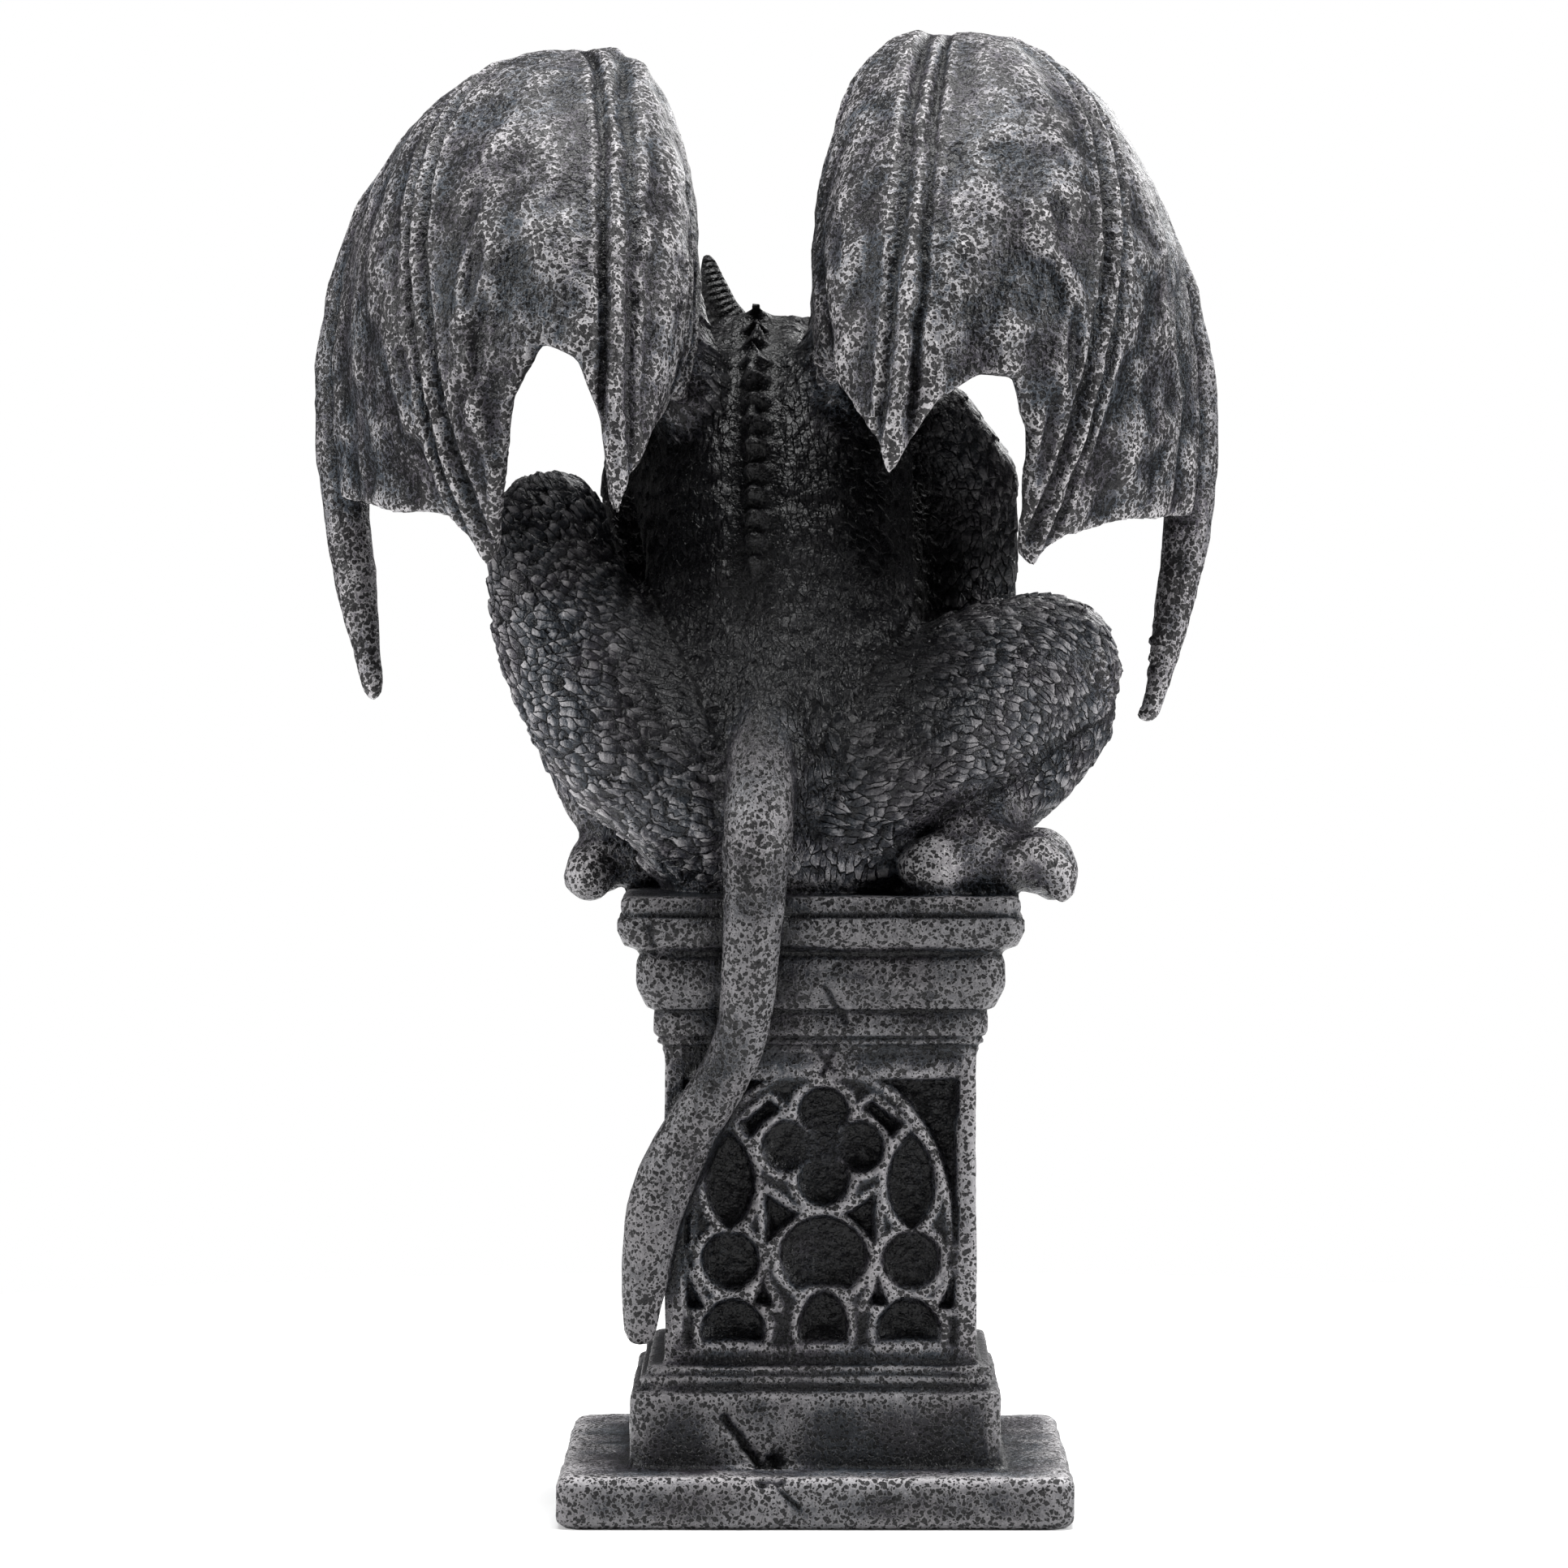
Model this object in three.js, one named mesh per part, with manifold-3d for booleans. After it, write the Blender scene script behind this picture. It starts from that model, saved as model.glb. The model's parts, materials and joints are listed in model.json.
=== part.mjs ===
// Gargoyle statue: a horned, winged beast crouching on a square Gothic plinth, all one resin casting.
// Millimetres, +Z up. The origin is the middle of the underside, and +Y is the way that the beast faces.
import * as THREE from 'three';
import Module from 'manifold-3d';
import { mergeVertices } from 'three/addons/utils/BufferGeometryUtils.js';

const wasm = await Module();
wasm.setup();

// Driving sizes of the plinth, from the ground up
const BASE_WIDTH = 100;
const BASE_HEIGHT = 10;
const BLOCK_WIDTH = 72.4;
const BLOCK_HEIGHT = 15.2;
const SKIRT_WIDTH = 69.6;
const SKIRT_HEIGHT = 4.5;
const SHAFT_WIDTH = 60.8;
const SHAFT_HEIGHT = 60.7;
const NECKING_WIDTH = 65.2;
const NECKING_HEIGHT = 8.9;
const FRIEZE_WIDTH = 71.8;
const FRIEZE_HEIGHT = 11.2;
const CAP_WIDTH = 79.2;
const CAP_HEIGHT = 11;
const EDGE_ROUND = 1.4;
const CORNER_ROUND = 2.4;
const SHAFT_SHIFT = 1;

// Driving sizes of the window that is cut in each face of the shaft
const PANEL_MARGIN = 3.6;
const PANEL_DEPTH = 0.9;
const TRACERY_DEPTH = 2.6;

// Driving sizes of the figure, whose pose is kept in shares of its height above the plinth
const FIGURE_HEIGHT = 171;
const WING_THICKNESS = 3.4;
const TAIL_RADIUS = 5.2;

const FIGURE_UNITS = 171;
const UNIT = FIGURE_HEIGHT / FIGURE_UNITS;
const BODY_TURN = THREE.MathUtils.degToRad(10);
const TINY = 1e-4;

const BLOCK_BOTTOM = BASE_HEIGHT;
const SKIRT_BOTTOM = BLOCK_BOTTOM + BLOCK_HEIGHT;
const SHAFT_BOTTOM = SKIRT_BOTTOM + SKIRT_HEIGHT;
const NECKING_BOTTOM = SHAFT_BOTTOM + SHAFT_HEIGHT;
const FRIEZE_BOTTOM = NECKING_BOTTOM + NECKING_HEIGHT;
const CAP_BOTTOM = FRIEZE_BOTTOM + FRIEZE_HEIGHT;
const PLINTH_HEIGHT = CAP_BOTTOM + CAP_HEIGHT;

// A point of the figure, in shares of its height, from the middle of the plinth's top
function at(x, y, z) {
  return new THREE.Vector3(x * UNIT, y * UNIT, z * UNIT + PLINTH_HEIGHT);
}

function solidOf(geometry) {
  const bare = geometry.index ? geometry.toNonIndexed() : geometry.clone();
  bare.deleteAttribute('normal');
  bare.deleteAttribute('uv');
  const merged = mergeVertices(bare, TINY);
  const solid = new wasm.Manifold(new wasm.Mesh({
    numProp: 3,
    vertProperties: new Float32Array(merged.attributes.position.array),
    triVerts: new Uint32Array(merged.index.array),
  }));
  return solid;
}

function joined(solids) {
  return solids.reduce((whole, piece) => whole.add(piece));
}

// A closed skin over rings of points, each ring as long as the first, with a point at either end
function skin(rings, first, last) {
  const sides = rings[0].length;
  const points = [...rings.flat(), first, last];
  const faces = [];
  for (let r = 0; r + 1 < rings.length; r++) {
    for (let s = 0; s < sides; s++) {
      const a = r * sides + s;
      const b = r * sides + (s + 1) % sides;
      faces.push(a, b, b + sides, a, b + sides, a + sides);
    }
  }
  const top = (rings.length - 1) * sides;
  for (let s = 0; s < sides; s++) {
    const next = (s + 1) % sides;
    faces.push(next, s, points.length - 2);
    faces.push(top + s, top + next, points.length - 1);
  }
  const geometry = new THREE.BufferGeometry().setFromPoints(points);
  geometry.setIndex(facingOut(points, faces));
  return geometry;
}

// Faces turned so that they point out of the closed shape
function facingOut(points, faces) {
  let volume = 0;
  for (let f = 0; f < faces.length; f += 3) {
    const [a, b, c] = faces.slice(f, f + 3).map((i) => points[i]);
    volume += a.dot(b.clone().cross(c));
  }
  return volume < 0 ? [...faces].reverse() : faces;
}

// A limb: a closed tube through stations of [point, half-width, half-depth], domed at both ends
function limb(stations, { rings = 8, sides = 10, back = new THREE.Vector3(0, -1, 0), dome = 0.7, domes = [0.7] } = {}) {
  const path = new THREE.CatmullRomCurve3(stations.map(([point]) => point));
  const sizes = new THREE.CatmullRomCurve3(stations.map(([, wide, deep]) =>
    new THREE.Vector3(wide * UNIT, (deep ?? wide) * UNIT, 0)));
  const ring = (t, share, slide) => {
    const along = path.getTangent(t);
    const deepWay = back.clone().addScaledVector(along, -back.dot(along)).normalize();
    const wideWay = along.clone().cross(deepWay);
    const { x: wide, y: deep } = sizes.getPoint(t);
    const centre = path.getPoint(t).addScaledVector(along, slide * dome * (wide + deep) / 2);
    return Array.from({ length: sides }, (_, s) => {
      const turn = (s / sides) * 2 * Math.PI;
      return centre.clone()
        .addScaledVector(wideWay, wide * share * Math.cos(turn))
        .addScaledVector(deepWay, deep * share * Math.sin(turn));
    });
  };
  const tip = (t, slide) => {
    const { x: wide, y: deep } = sizes.getPoint(t);
    return path.getPoint(t).addScaledVector(path.getTangent(t), slide * dome * (wide + deep) / 2);
  };
  const all = [];
  for (const slide of [...domes].reverse()) all.push(ring(0, Math.sqrt(1 - slide * slide), -slide));
  for (let r = 0; r <= rings; r++) all.push(ring(r / rings, 1, 0));
  for (const slide of domes) all.push(ring(1, Math.sqrt(1 - slide * slide), slide));
  return skin(all, tip(0, -1), tip(1, 1));
}

// A round muscle or lump at a share point, with its three half-sizes
function lump(centre, [x, y, z], sides = 12) {
  return new THREE.SphereGeometry(1, sides, Math.ceil(sides * 0.6))
    .scale(x * UNIT, y * UNIT, z * UNIT)
    .translate(...centre.toArray());
}

// A tapering spike from one point to another: a claw, fang, spine plate or ear
function spike(from, to, wide, deep = wide, sides = 6) {
  const along = to.clone().sub(from);
  return new THREE.ConeGeometry(1, along.length(), sides)
    .scale(wide * UNIT, 1, deep * UNIT)
    .translate(0, along.length() / 2, 0)
    .applyQuaternion(new THREE.Quaternion().setFromUnitVectors(new THREE.Vector3(0, 1, 0), along.normalize()))
    .translate(...from.toArray());
}

// The plinth: square rings with rounded corners, from the base slab to the cap
const CORNER_STEPS = 1;
const FIRST_SHIFTED_RING = 8;

function squareRing(half, z) {
  const round = Math.min(CORNER_ROUND, half / 2);
  const points = [];
  for (let corner = 0; corner < 4; corner++) {
    for (let step = 0; step <= CORNER_STEPS; step++) {
      const turn = (corner + step / CORNER_STEPS) * Math.PI / 2;
      const sx = Math.sign(Math.cos((corner + 0.5) * Math.PI / 2));
      const sy = Math.sign(Math.sin((corner + 0.5) * Math.PI / 2));
      points.push(new THREE.Vector3(
        sx * (half - round) + round * Math.cos(turn),
        sy * (half - round) + round * Math.sin(turn),
        z,
      ));
    }
  }
  return points;
}

// The rings step up the plinth; from the shaft up they stand a little to the right, as the casting does
function plinthSolid() {
  const e = EDGE_ROUND;
  const profile = [
    [BASE_WIDTH / 2 - e, 0],
    [BASE_WIDTH / 2, e],
    [BASE_WIDTH / 2, BASE_HEIGHT - e],
    [BASE_WIDTH / 2 - e, BASE_HEIGHT],
    [BLOCK_WIDTH / 2, BLOCK_BOTTOM],
    [BLOCK_WIDTH / 2, SKIRT_BOTTOM - e / 2],
    [SKIRT_WIDTH / 2 - 1.6 * e, SKIRT_BOTTOM + SKIRT_HEIGHT * 0.1],
    [SKIRT_WIDTH / 2, SKIRT_BOTTOM + SKIRT_HEIGHT * 0.35],
    [SKIRT_WIDTH / 2 - e, SHAFT_BOTTOM],
    [SHAFT_WIDTH / 2, SHAFT_BOTTOM],
    [SHAFT_WIDTH / 2, NECKING_BOTTOM],
    [SHAFT_WIDTH / 2 + e, NECKING_BOTTOM + NECKING_HEIGHT * 0.25],
    [NECKING_WIDTH / 2, NECKING_BOTTOM + NECKING_HEIGHT * 0.5],
    [NECKING_WIDTH / 2, FRIEZE_BOTTOM - e / 2],
    [FRIEZE_WIDTH / 2 - 1.6 * e, FRIEZE_BOTTOM],
    [FRIEZE_WIDTH / 2, FRIEZE_BOTTOM + FRIEZE_HEIGHT * 0.4],
    [FRIEZE_WIDTH / 2, CAP_BOTTOM - e],
    [FRIEZE_WIDTH / 2 - e, CAP_BOTTOM],
    [CAP_WIDTH / 2 - e, CAP_BOTTOM + CAP_HEIGHT * 0.12],
    [CAP_WIDTH / 2, CAP_BOTTOM + CAP_HEIGHT * 0.38],
    [CAP_WIDTH / 2, CAP_BOTTOM + CAP_HEIGHT * 0.62],
    [CAP_WIDTH / 2 - e / 2, CAP_BOTTOM + CAP_HEIGHT * 0.72],
    [CAP_WIDTH / 2 - e / 2, PLINTH_HEIGHT - e / 2],
    [CAP_WIDTH / 2 - e, PLINTH_HEIGHT],
  ];
  const rings = profile.map(([half, z], i) => squareRing(half, z)
    .map((point) => point.setX(point.x + (i < FIRST_SHIFTED_RING ? 0 : SHAFT_SHIFT))));
  return solidOf(skin(rings, new THREE.Vector3(), new THREE.Vector3(SHAFT_SHIFT, 0, PLINTH_HEIGHT)));
}

// The tracery, drawn on the face of the shaft: x to the right, y up from the panel's foot, in shares of its width
const PANEL_WIDTH = SHAFT_WIDTH - 2 * PANEL_MARGIN;
const PANEL_HEIGHT = SHAFT_HEIGHT - 1.3 * PANEL_MARGIN - PANEL_MARGIN;
const PANEL_BOTTOM = SHAFT_BOTTOM + PANEL_MARGIN;

function outline(points) {
  return new THREE.Shape(points.map(([x, y]) => new THREE.Vector2(x, y)));
}

function oval(x, y, halfWidth, halfHeight, sides = 10, start = 0) {
  return outline(Array.from({ length: sides }, (_, i) => {
    const turn = start + (i / sides) * 2 * Math.PI;
    return [x + halfWidth * Math.cos(turn), y + halfHeight * Math.sin(turn)];
  }));
}

// A pointed oval, as tall as it says, whose two sides are arcs
function almond(x, y, halfWidth, halfHeight) {
  const points = [];
  for (const side of [1, -1]) {
    for (let i = 0; i < 3; i++) {
      const rise = side * (1 - (2 * i) / 3);
      points.push([x + side * halfWidth * (1 - rise * rise), y - rise * halfHeight]);
    }
  }
  return outline(points);
}

// A low window light: flat below, with a half-round head
function light(x, foot, halfWidth, height) {
  const points = [[x - halfWidth, foot], [x + halfWidth, foot]];
  for (let i = 0; i <= 3; i++) {
    const turn = (i / 3) * Math.PI;
    points.push([x + halfWidth * Math.cos(turn), foot + height * (0.35 + 0.65 * Math.sin(turn))]);
  }
  return outline(points);
}

// Four lobes round a middle, with a cusp between each two
const LOBE_TURNS = [-80, -30, 30, 80];

function quatrefoil(x, y, lobe, spread) {
  const points = [];
  for (const way of [0, 90, 180, 270]) {
    const [dx, dy] = [Math.cos(THREE.MathUtils.degToRad(way)), Math.sin(THREE.MathUtils.degToRad(way))];
    for (const turn of LOBE_TURNS) {
      const t = THREE.MathUtils.degToRad(way + turn);
      points.push([x + spread * dx + lobe * Math.cos(t), y + spread * dy + lobe * Math.sin(t)]);
    }
    points.push([x + (dx - dy) * spread * 0.6, y + (dx + dy) * spread * 0.6]);
  }
  return outline(points);
}

// The corner left between the panel and the great arch, on one side, with the arch as an ellipse
const SPANDREL_TURNS = [57, 43, 27, 0];

function spandrel(side, arch) {
  const points = SPANDREL_TURNS.map((turn) => {
    const t = THREE.MathUtils.degToRad(turn);
    return [side * arch.halfWidth * Math.cos(t), arch.foot + arch.height * Math.sin(t)];
  });
  points[0][1] = PANEL_HEIGHT;
  points.push([side * PANEL_WIDTH / 2, PANEL_HEIGHT]);
  return outline(side > 0 ? points.reverse() : points);
}

function traceryShapes() {
  const w = PANEL_WIDTH;
  const h = PANEL_HEIGHT;
  const arch = { halfWidth: 0.5 * w, foot: 0.394 * h, height: 0.68 * h };
  const shapes = [
    quatrefoil(0.01 * w, 0.745 * h, 0.083 * w, 0.113 * w),
    oval(0.01 * w, 0.345 * h, 0.14 * w, 0.12 * h, 8, Math.PI / 8),
    light(0.01 * w, 0.03 * h, 0.075 * w, 0.165 * h),
  ];
  for (const side of [-1, 1]) {
    const across = (shares) => shares.map(([x, y]) => [side * x * w, y * h]);
    shapes.push(almond(side * 0.33 * w, 0.61 * h, 0.08 * w, 0.175 * h));
    shapes.push(oval(side * 0.33 * w, 0.32 * h, 0.1 * w, 0.105 * h, 7));
    shapes.push(light(side * 0.32 * w, 0.03 * h, 0.105 * w, 0.14 * h));
    shapes.push(outline(across([[0.188, 0.545], [0.095, 0.487], [0.188, 0.41]])));
    shapes.push(outline(across([[0.17, 0.885], [0.19, 0.9], [0.28, 0.83], [0.255, 0.8]])));
    shapes.push(spandrel(side, arch));
  }
  return shapes;
}

// A cutter that goes into the shaft's rear face, deeper than the panel by its own depth
function faceCutter(shape, depth, reach) {
  return solidOf(new THREE.ExtrudeGeometry(shape, { depth: depth + reach, bevelEnabled: false, curveSegments: 3 })
    .rotateX(Math.PI / 2)
    .translate(0, -SHAFT_WIDTH / 2 + depth, PANEL_BOTTOM));
}

function windowCutters() {
  const panel = outline([
    [-PANEL_WIDTH / 2, 0],
    [PANEL_WIDTH / 2, 0],
    [PANEL_WIDTH / 2, PANEL_HEIGHT],
    [-PANEL_WIDTH / 2, PANEL_HEIGHT],
  ]);
  const openings = traceryShapes().map((shape) => faceCutter(shape, PANEL_DEPTH + TRACERY_DEPTH, PANEL_DEPTH));
  return joined([faceCutter(panel, PANEL_DEPTH, PANEL_DEPTH), ...openings]);
}

function plinth() {
  const cutters = windowCutters();
  let body = plinthSolid();
  for (const turn of [0, 90, 180, 270]) {
    body = body.subtract(cutters.rotate([0, 0, turn]).translate([SHAFT_SHIFT, 0, 0]));
  }
  return body;
}

// The trunk, from the rump that sits on the plinth, up the back, over the shoulders to the neck
const BACKWARD = new THREE.Vector3(-Math.sin(BODY_TURN), -Math.cos(BODY_TURN), 0);
const TRUNK = [
  [at(-5, -16, 14), 22, 17],
  [at(-6, -18, 30), 26, 20],
  [at(-7, -13, 50), 26.5, 18],
  [at(-7.5, -6, 72), 27, 19],
  [at(-9, 0, 86), 29, 18],
  [at(-9.5, 7, 96), 25, 15],
  [at(-5, 18, 100), 17, 13],
  [at(0, 27, 98), 14, 12],
];

function trunk() {
  return [
    limb(TRUNK, { rings: 10, sides: 13, back: BACKWARD }),
    lump(at(-5, -15, 7), [31, 20, 11], 9),
    lump(at(-16, 8, 82), [13, 12, 15], 8),
    lump(at(5, 10, 82), [13, 12, 15], 8),
  ];
}

// The row of plates along the spine, largest at the neck
const SPINE_PLATES = 13;
const PLATE_LINE_SHARE = -11.8;

function spinePlates() {
  const path = new THREE.CatmullRomCurve3(TRUNK.map(([point]) => point));
  const sizes = new THREE.CatmullRomCurve3(TRUNK.map(([, wide, deep]) => new THREE.Vector3(wide, deep, 0)));
  const plates = [];
  for (let i = 0; i < SPINE_PLATES; i++) {
    const share = i / (SPINE_PLATES - 1);
    const t = 0.72 - 0.39 * share;
    const along = path.getTangent(t);
    const out = BACKWARD.clone().addScaledVector(along, -BACKWARD.dot(along)).normalize();
    const root = path.getPoint(t).addScaledVector(out, (sizes.getPoint(t).y - 2) * UNIT).setX(PLATE_LINE_SHARE * UNIT);
    const rise = 6.6 - 3.4 * share;
    const tip = root.clone().addScaledVector(out, rise * UNIT).addScaledVector(along, 2.2 * UNIT);
    plates.push(spike(root, tip, 4 - 1.6 * share, 2.4, 4));
  }
  return plates;
}

// Hind legs: haunch and thigh up to the knee, the shin down to the heel
const LEFT_FOOT = new THREE.Vector3(-CAP_WIDTH / 2 + 4 * UNIT, 3 * UNIT, PLINTH_HEIGHT);
const RIGHT_FOOT = new THREE.Vector3(CAP_WIDTH / 2 - 6 * UNIT, -26 * UNIT, PLINTH_HEIGHT);

function above(foot, x, y, z) {
  return foot.clone().add(new THREE.Vector3(x, y, z).multiplyScalar(UNIT));
}

function hindLegs() {
  return [
    limb([
      [at(-14, -23, 16), 15, 14],
      [at(-25, -23, 23), 18, 16],
      [at(-36, -18, 34), 19, 17],
      [at(-46, -10, 47), 17, 15.5],
      [at(-52, -2, 61), 13.5, 13],
      [at(-53.5, 4, 75), 11.5, 11],
    ], { rings: 6, sides: 12 }),
    limb([
      [at(-55, 7, 70), 8.5, 9],
      [at(-52, 9, 46), 8.5, 9.5],
      [at(-46.5, 7, 25), 8, 8],
      [above(LEFT_FOOT, -2, 1, 8), 6.5, 7],
    ], { rings: 5, sides: 8, domes: [] }),
    limb([
      [at(2, -22, 20), 16, 15],
      [at(14, -21, 28), 18, 18],
      [at(26, -13, 35), 18, 18],
      [at(38, -1, 41.5), 16.5, 16.5],
      [at(49, 9, 44.5), 15, 15],
    ], { rings: 6, sides: 12, back: new THREE.Vector3(0, 0, 1) }),
    limb([
      [at(51, 11, 36), 10.5, 11],
      [at(46, 2, 26), 8.5, 8.5],
      [at(37, -12, 17), 7.5, 7.5],
      [above(RIGHT_FOOT, -6, -1, 8), 7, 7],
    ], { rings: 5, sides: 8, back: new THREE.Vector3(0, 0, 1), domes: [] }),
  ];
}

// Forelegs, which stand straight between the knees on the plinth's front edge
const FORE_EDGE = CAP_WIDTH / 2 - 3 * UNIT;
const LEFT_HAND = new THREE.Vector3(-17 * UNIT, FORE_EDGE, PLINTH_HEIGHT);
const RIGHT_HAND = new THREE.Vector3(16 * UNIT, FORE_EDGE, PLINTH_HEIGHT);

function forelegs() {
  return [
    limb([
      [at(-29, 5, 94), 10, 12],
      [at(-34, 15, 78), 10, 11],
      [at(-34, 22, 58), 9, 9],
      [at(-32, 24, 43), 8, 8],
      [at(-25, 30, 24), 6.5, 7],
      [above(LEFT_HAND, -1, -5, 7), 6, 6],
    ], { rings: 6, sides: 7 }),
    limb([
      [at(22, 12, 94), 10, 12],
      [at(30, 18, 78), 12.5, 12],
      [at(29, 23, 58), 11.5, 11],
      [at(29.5, 26, 43), 9.5, 9],
      [at(24, 32, 24), 6.5, 7],
      [above(RIGHT_HAND, 1, -5, 7), 6, 6],
    ], { rings: 6, sides: 7 }),
  ];
}

// A paw that grips the edge of the plinth: a low palm, and four toes that each taper over it to a claw
const TOE_SPREAD = [-1.5, -0.5, 0.5, 1.5];

function paw(place, heading, size) {
  const local = (x, y, z) => new THREE.Vector3(x, y, z)
    .multiplyScalar(size * UNIT)
    .applyAxisAngle(new THREE.Vector3(0, 0, 1), heading)
    .add(place);
  const back = new THREE.Vector3(0, 0, 1);
  const palm = limb([
    [local(0, -9, 5), 6 * size, 5 * size],
    [local(0, -2, 5.5), 8.5 * size, 5.5 * size],
    [local(0, 4, 5), 8.5 * size, 5 * size],
  ], { rings: 2, sides: 7, back });
  const toes = TOE_SPREAD.map((spread) => {
    const reach = 1 - 0.05 * spread * spread;
    return limb([
      [local(spread * 3.8, 2, 5.6), 3.4 * size, 4 * size],
      [local(spread * 4.6, 8.6 * reach, 7), 3.7 * size, 4.4 * size],
      [local(spread * 4.9, 13 * reach, 3.8), 3.2 * size, 3.8 * size],
      [local(spread * 5, 13.6 * reach, -0.4), 1.6 * size, 1.8 * size],
    ], { rings: 3, sides: 5, back, domes: [] });
  });
  return [palm, ...toes];
}

function paws() {
  return [
    ...paw(LEFT_FOOT, THREE.MathUtils.degToRad(84), 0.9),
    ...paw(RIGHT_FOOT, THREE.MathUtils.degToRad(-82), 1.1),
    ...paw(LEFT_HAND, THREE.MathUtils.degToRad(8), 0.86),
    ...paw(RIGHT_HAND, THREE.MathUtils.degToRad(-8), 0.86),
  ];
}

// The tail, which leaves the rump, hangs down the back of the plinth and ends beside its left corner
function tail() {
  const lean = TAIL_RADIUS * 0.72;
  const behind = (width) => -width / 2 - lean;
  const side = SHAFT_SHIFT - SHAFT_WIDTH / 2;
  const r = TAIL_RADIUS / UNIT;
  const spot = (x, y, z) => new THREE.Vector3(x, y, z);
  return limb([
    [at(-9.5, -29, 46), 0.4 * r],
    [at(-10, -35.5, 35), 0.9 * r],
    [at(-10.5, -41, 24), 1.3 * r],
    [at(-11.2, -45, 10), 1.35 * r],
    [spot(-12 * UNIT, behind(CAP_WIDTH), CAP_BOTTOM + CAP_HEIGHT * 0.75), 1.16 * r],
    [spot(-13 * UNIT, behind(FRIEZE_WIDTH) - 0.2 * TAIL_RADIUS, FRIEZE_BOTTOM + FRIEZE_HEIGHT * 0.6), r],
    [spot(-14.4 * UNIT, behind(NECKING_WIDTH), NECKING_BOTTOM + NECKING_HEIGHT * 0.5), 0.92 * r],
    [spot(-18.5 * UNIT, behind(SHAFT_WIDTH), SHAFT_BOTTOM + SHAFT_HEIGHT * 0.92), 0.95 * r],
    [spot(side + 0.9 * TAIL_RADIUS, behind(SHAFT_WIDTH), SHAFT_BOTTOM + SHAFT_HEIGHT * 0.74), 1.05 * r],
    [spot(side - 0.3 * TAIL_RADIUS, behind(SHAFT_WIDTH), SHAFT_BOTTOM + SHAFT_HEIGHT * 0.5), 1.06 * r],
    [spot(side - 0.73 * TAIL_RADIUS, behind(SHAFT_WIDTH) + 0.12 * TAIL_RADIUS, SHAFT_BOTTOM + SHAFT_HEIGHT * 0.34), 0.92 * r],
    [spot(side - 0.92 * TAIL_RADIUS, behind(SHAFT_WIDTH) + 0.27 * TAIL_RADIUS, SHAFT_BOTTOM + SHAFT_HEIGHT * 0.1), 0.6 * r],
  ], { rings: 16, sides: 7 });
}

// The head, made looking along +Y about its own middle, then turned and lifted into place
const HEAD_PLACE = at(1, 34, 96);
const HEAD_TURN = -BODY_TURN;

function headSolid() {
  const p = (x, y, z) => new THREE.Vector3(x, y, z).multiplyScalar(UNIT);
  const pieces = [
    lump(p(0, -1, 1), [15, 17, 13], 10),
    limb([[p(0, 6, 1), 11, 8.5], [p(0, 15, -0.5), 8.5, 6.5], [p(0, 24, -2.5), 6.6, 4.8]], { rings: 2, sides: 8, domes: [] }),
    limb([[p(0, 2, -9), 9.5, 4], [p(0, 11, -12.5), 7, 2.8], [p(0, 20, -13), 4.8, 2.2]], { rings: 2, sides: 6, domes: [] }),
    lump(p(0, 27.5, -0.4), [4.2, 3, 3], 6),
  ];
  for (const side of [-1, 1]) {
    pieces.push(lump(p(side * 10, 7, -5), [5.5, 8, 6.5], 6));
    pieces.push(lump(p(side * 6.6, 14, 4.4), [2.9, 2.8, 2.6], 6));
    pieces.push(limb([
      [p(side * 2, 18.5, 4.5), 1.6, 1.8],
      [p(side * 7, 16, 8.6), 2.2, 2.6],
      [p(side * 14, 8, 10.4), 2.6, 2.8],
    ], { rings: 2, sides: 5, domes: [] }));
    pieces.push(spike(p(side * 11, -3, 3), p(side * 27, -11, 11), 6, 2.4, 5));
    pieces.push(spike(p(side * 4.6, 22, -5), p(side * 4.4, 22.6, -12.4), 1.5, 1.5, 4));
    pieces.push(limb([
      [p(side * 9.5, 0, 8), 5, 5],
      [p(side * 15.5, -3, 14), 4.6, 4.4],
      [p(side * 19.5, -5, 20), 3.9, 3.7],
      [p(side * 21.6, -5, 26.5), 2.7, 2.6],
      [p(side * 22.8, -4, 31.5), 1.3, 1.2],
    ], { rings: 5, sides: 6 }));
  }
  return joined(pieces.map(solidOf))
    .rotate([0, 0, THREE.MathUtils.radToDeg(HEAD_TURN)])
    .translate(HEAD_PLACE.toArray());
}

// A wing: a cupped web of skin over five lines that start at the wrist: the arm's edge, the inner fold and
// three fingers. Each line is given as the three further points of a Bezier curve, and the hems say how far
// down the lines each column of the web reaches, panel by panel.
const LEFT_WING = {
  wrist: [-48.5, 12, 164],
  lines: [
    [[-22.4, 6.5, 149.8], [-33.5, -1.9, 115.9], [-24, -7, 94.5]],
    [[-25.4, -8.2, 171], [-19.8, -35.8, 112.2], [-32, -32, 91.5]],
    [[-36.4, -6.8, 170.7], [-38.8, -68.4, 135.5], [-38.5, -52, 74]],
    [[-84.1, -10.1, 169.2], [-81.4, -55.6, 105.7], [-62.3, -32, 65.5]],
    [[-114.1, 22.3, 150.5], [-94.9, 10, 80.9], [-88, 5, 36]],
  ],
  hems: [
    [1, 0.96],
    [0.91, 0.93, 0.95, 0.97],
    [1, 0.9, 0.81, 0.775, 0.82, 0.92, 0.97],
    [1, 0.92, 0.88, 0.845, 0.8, 0.76],
    [0.72],
  ],
};
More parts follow.
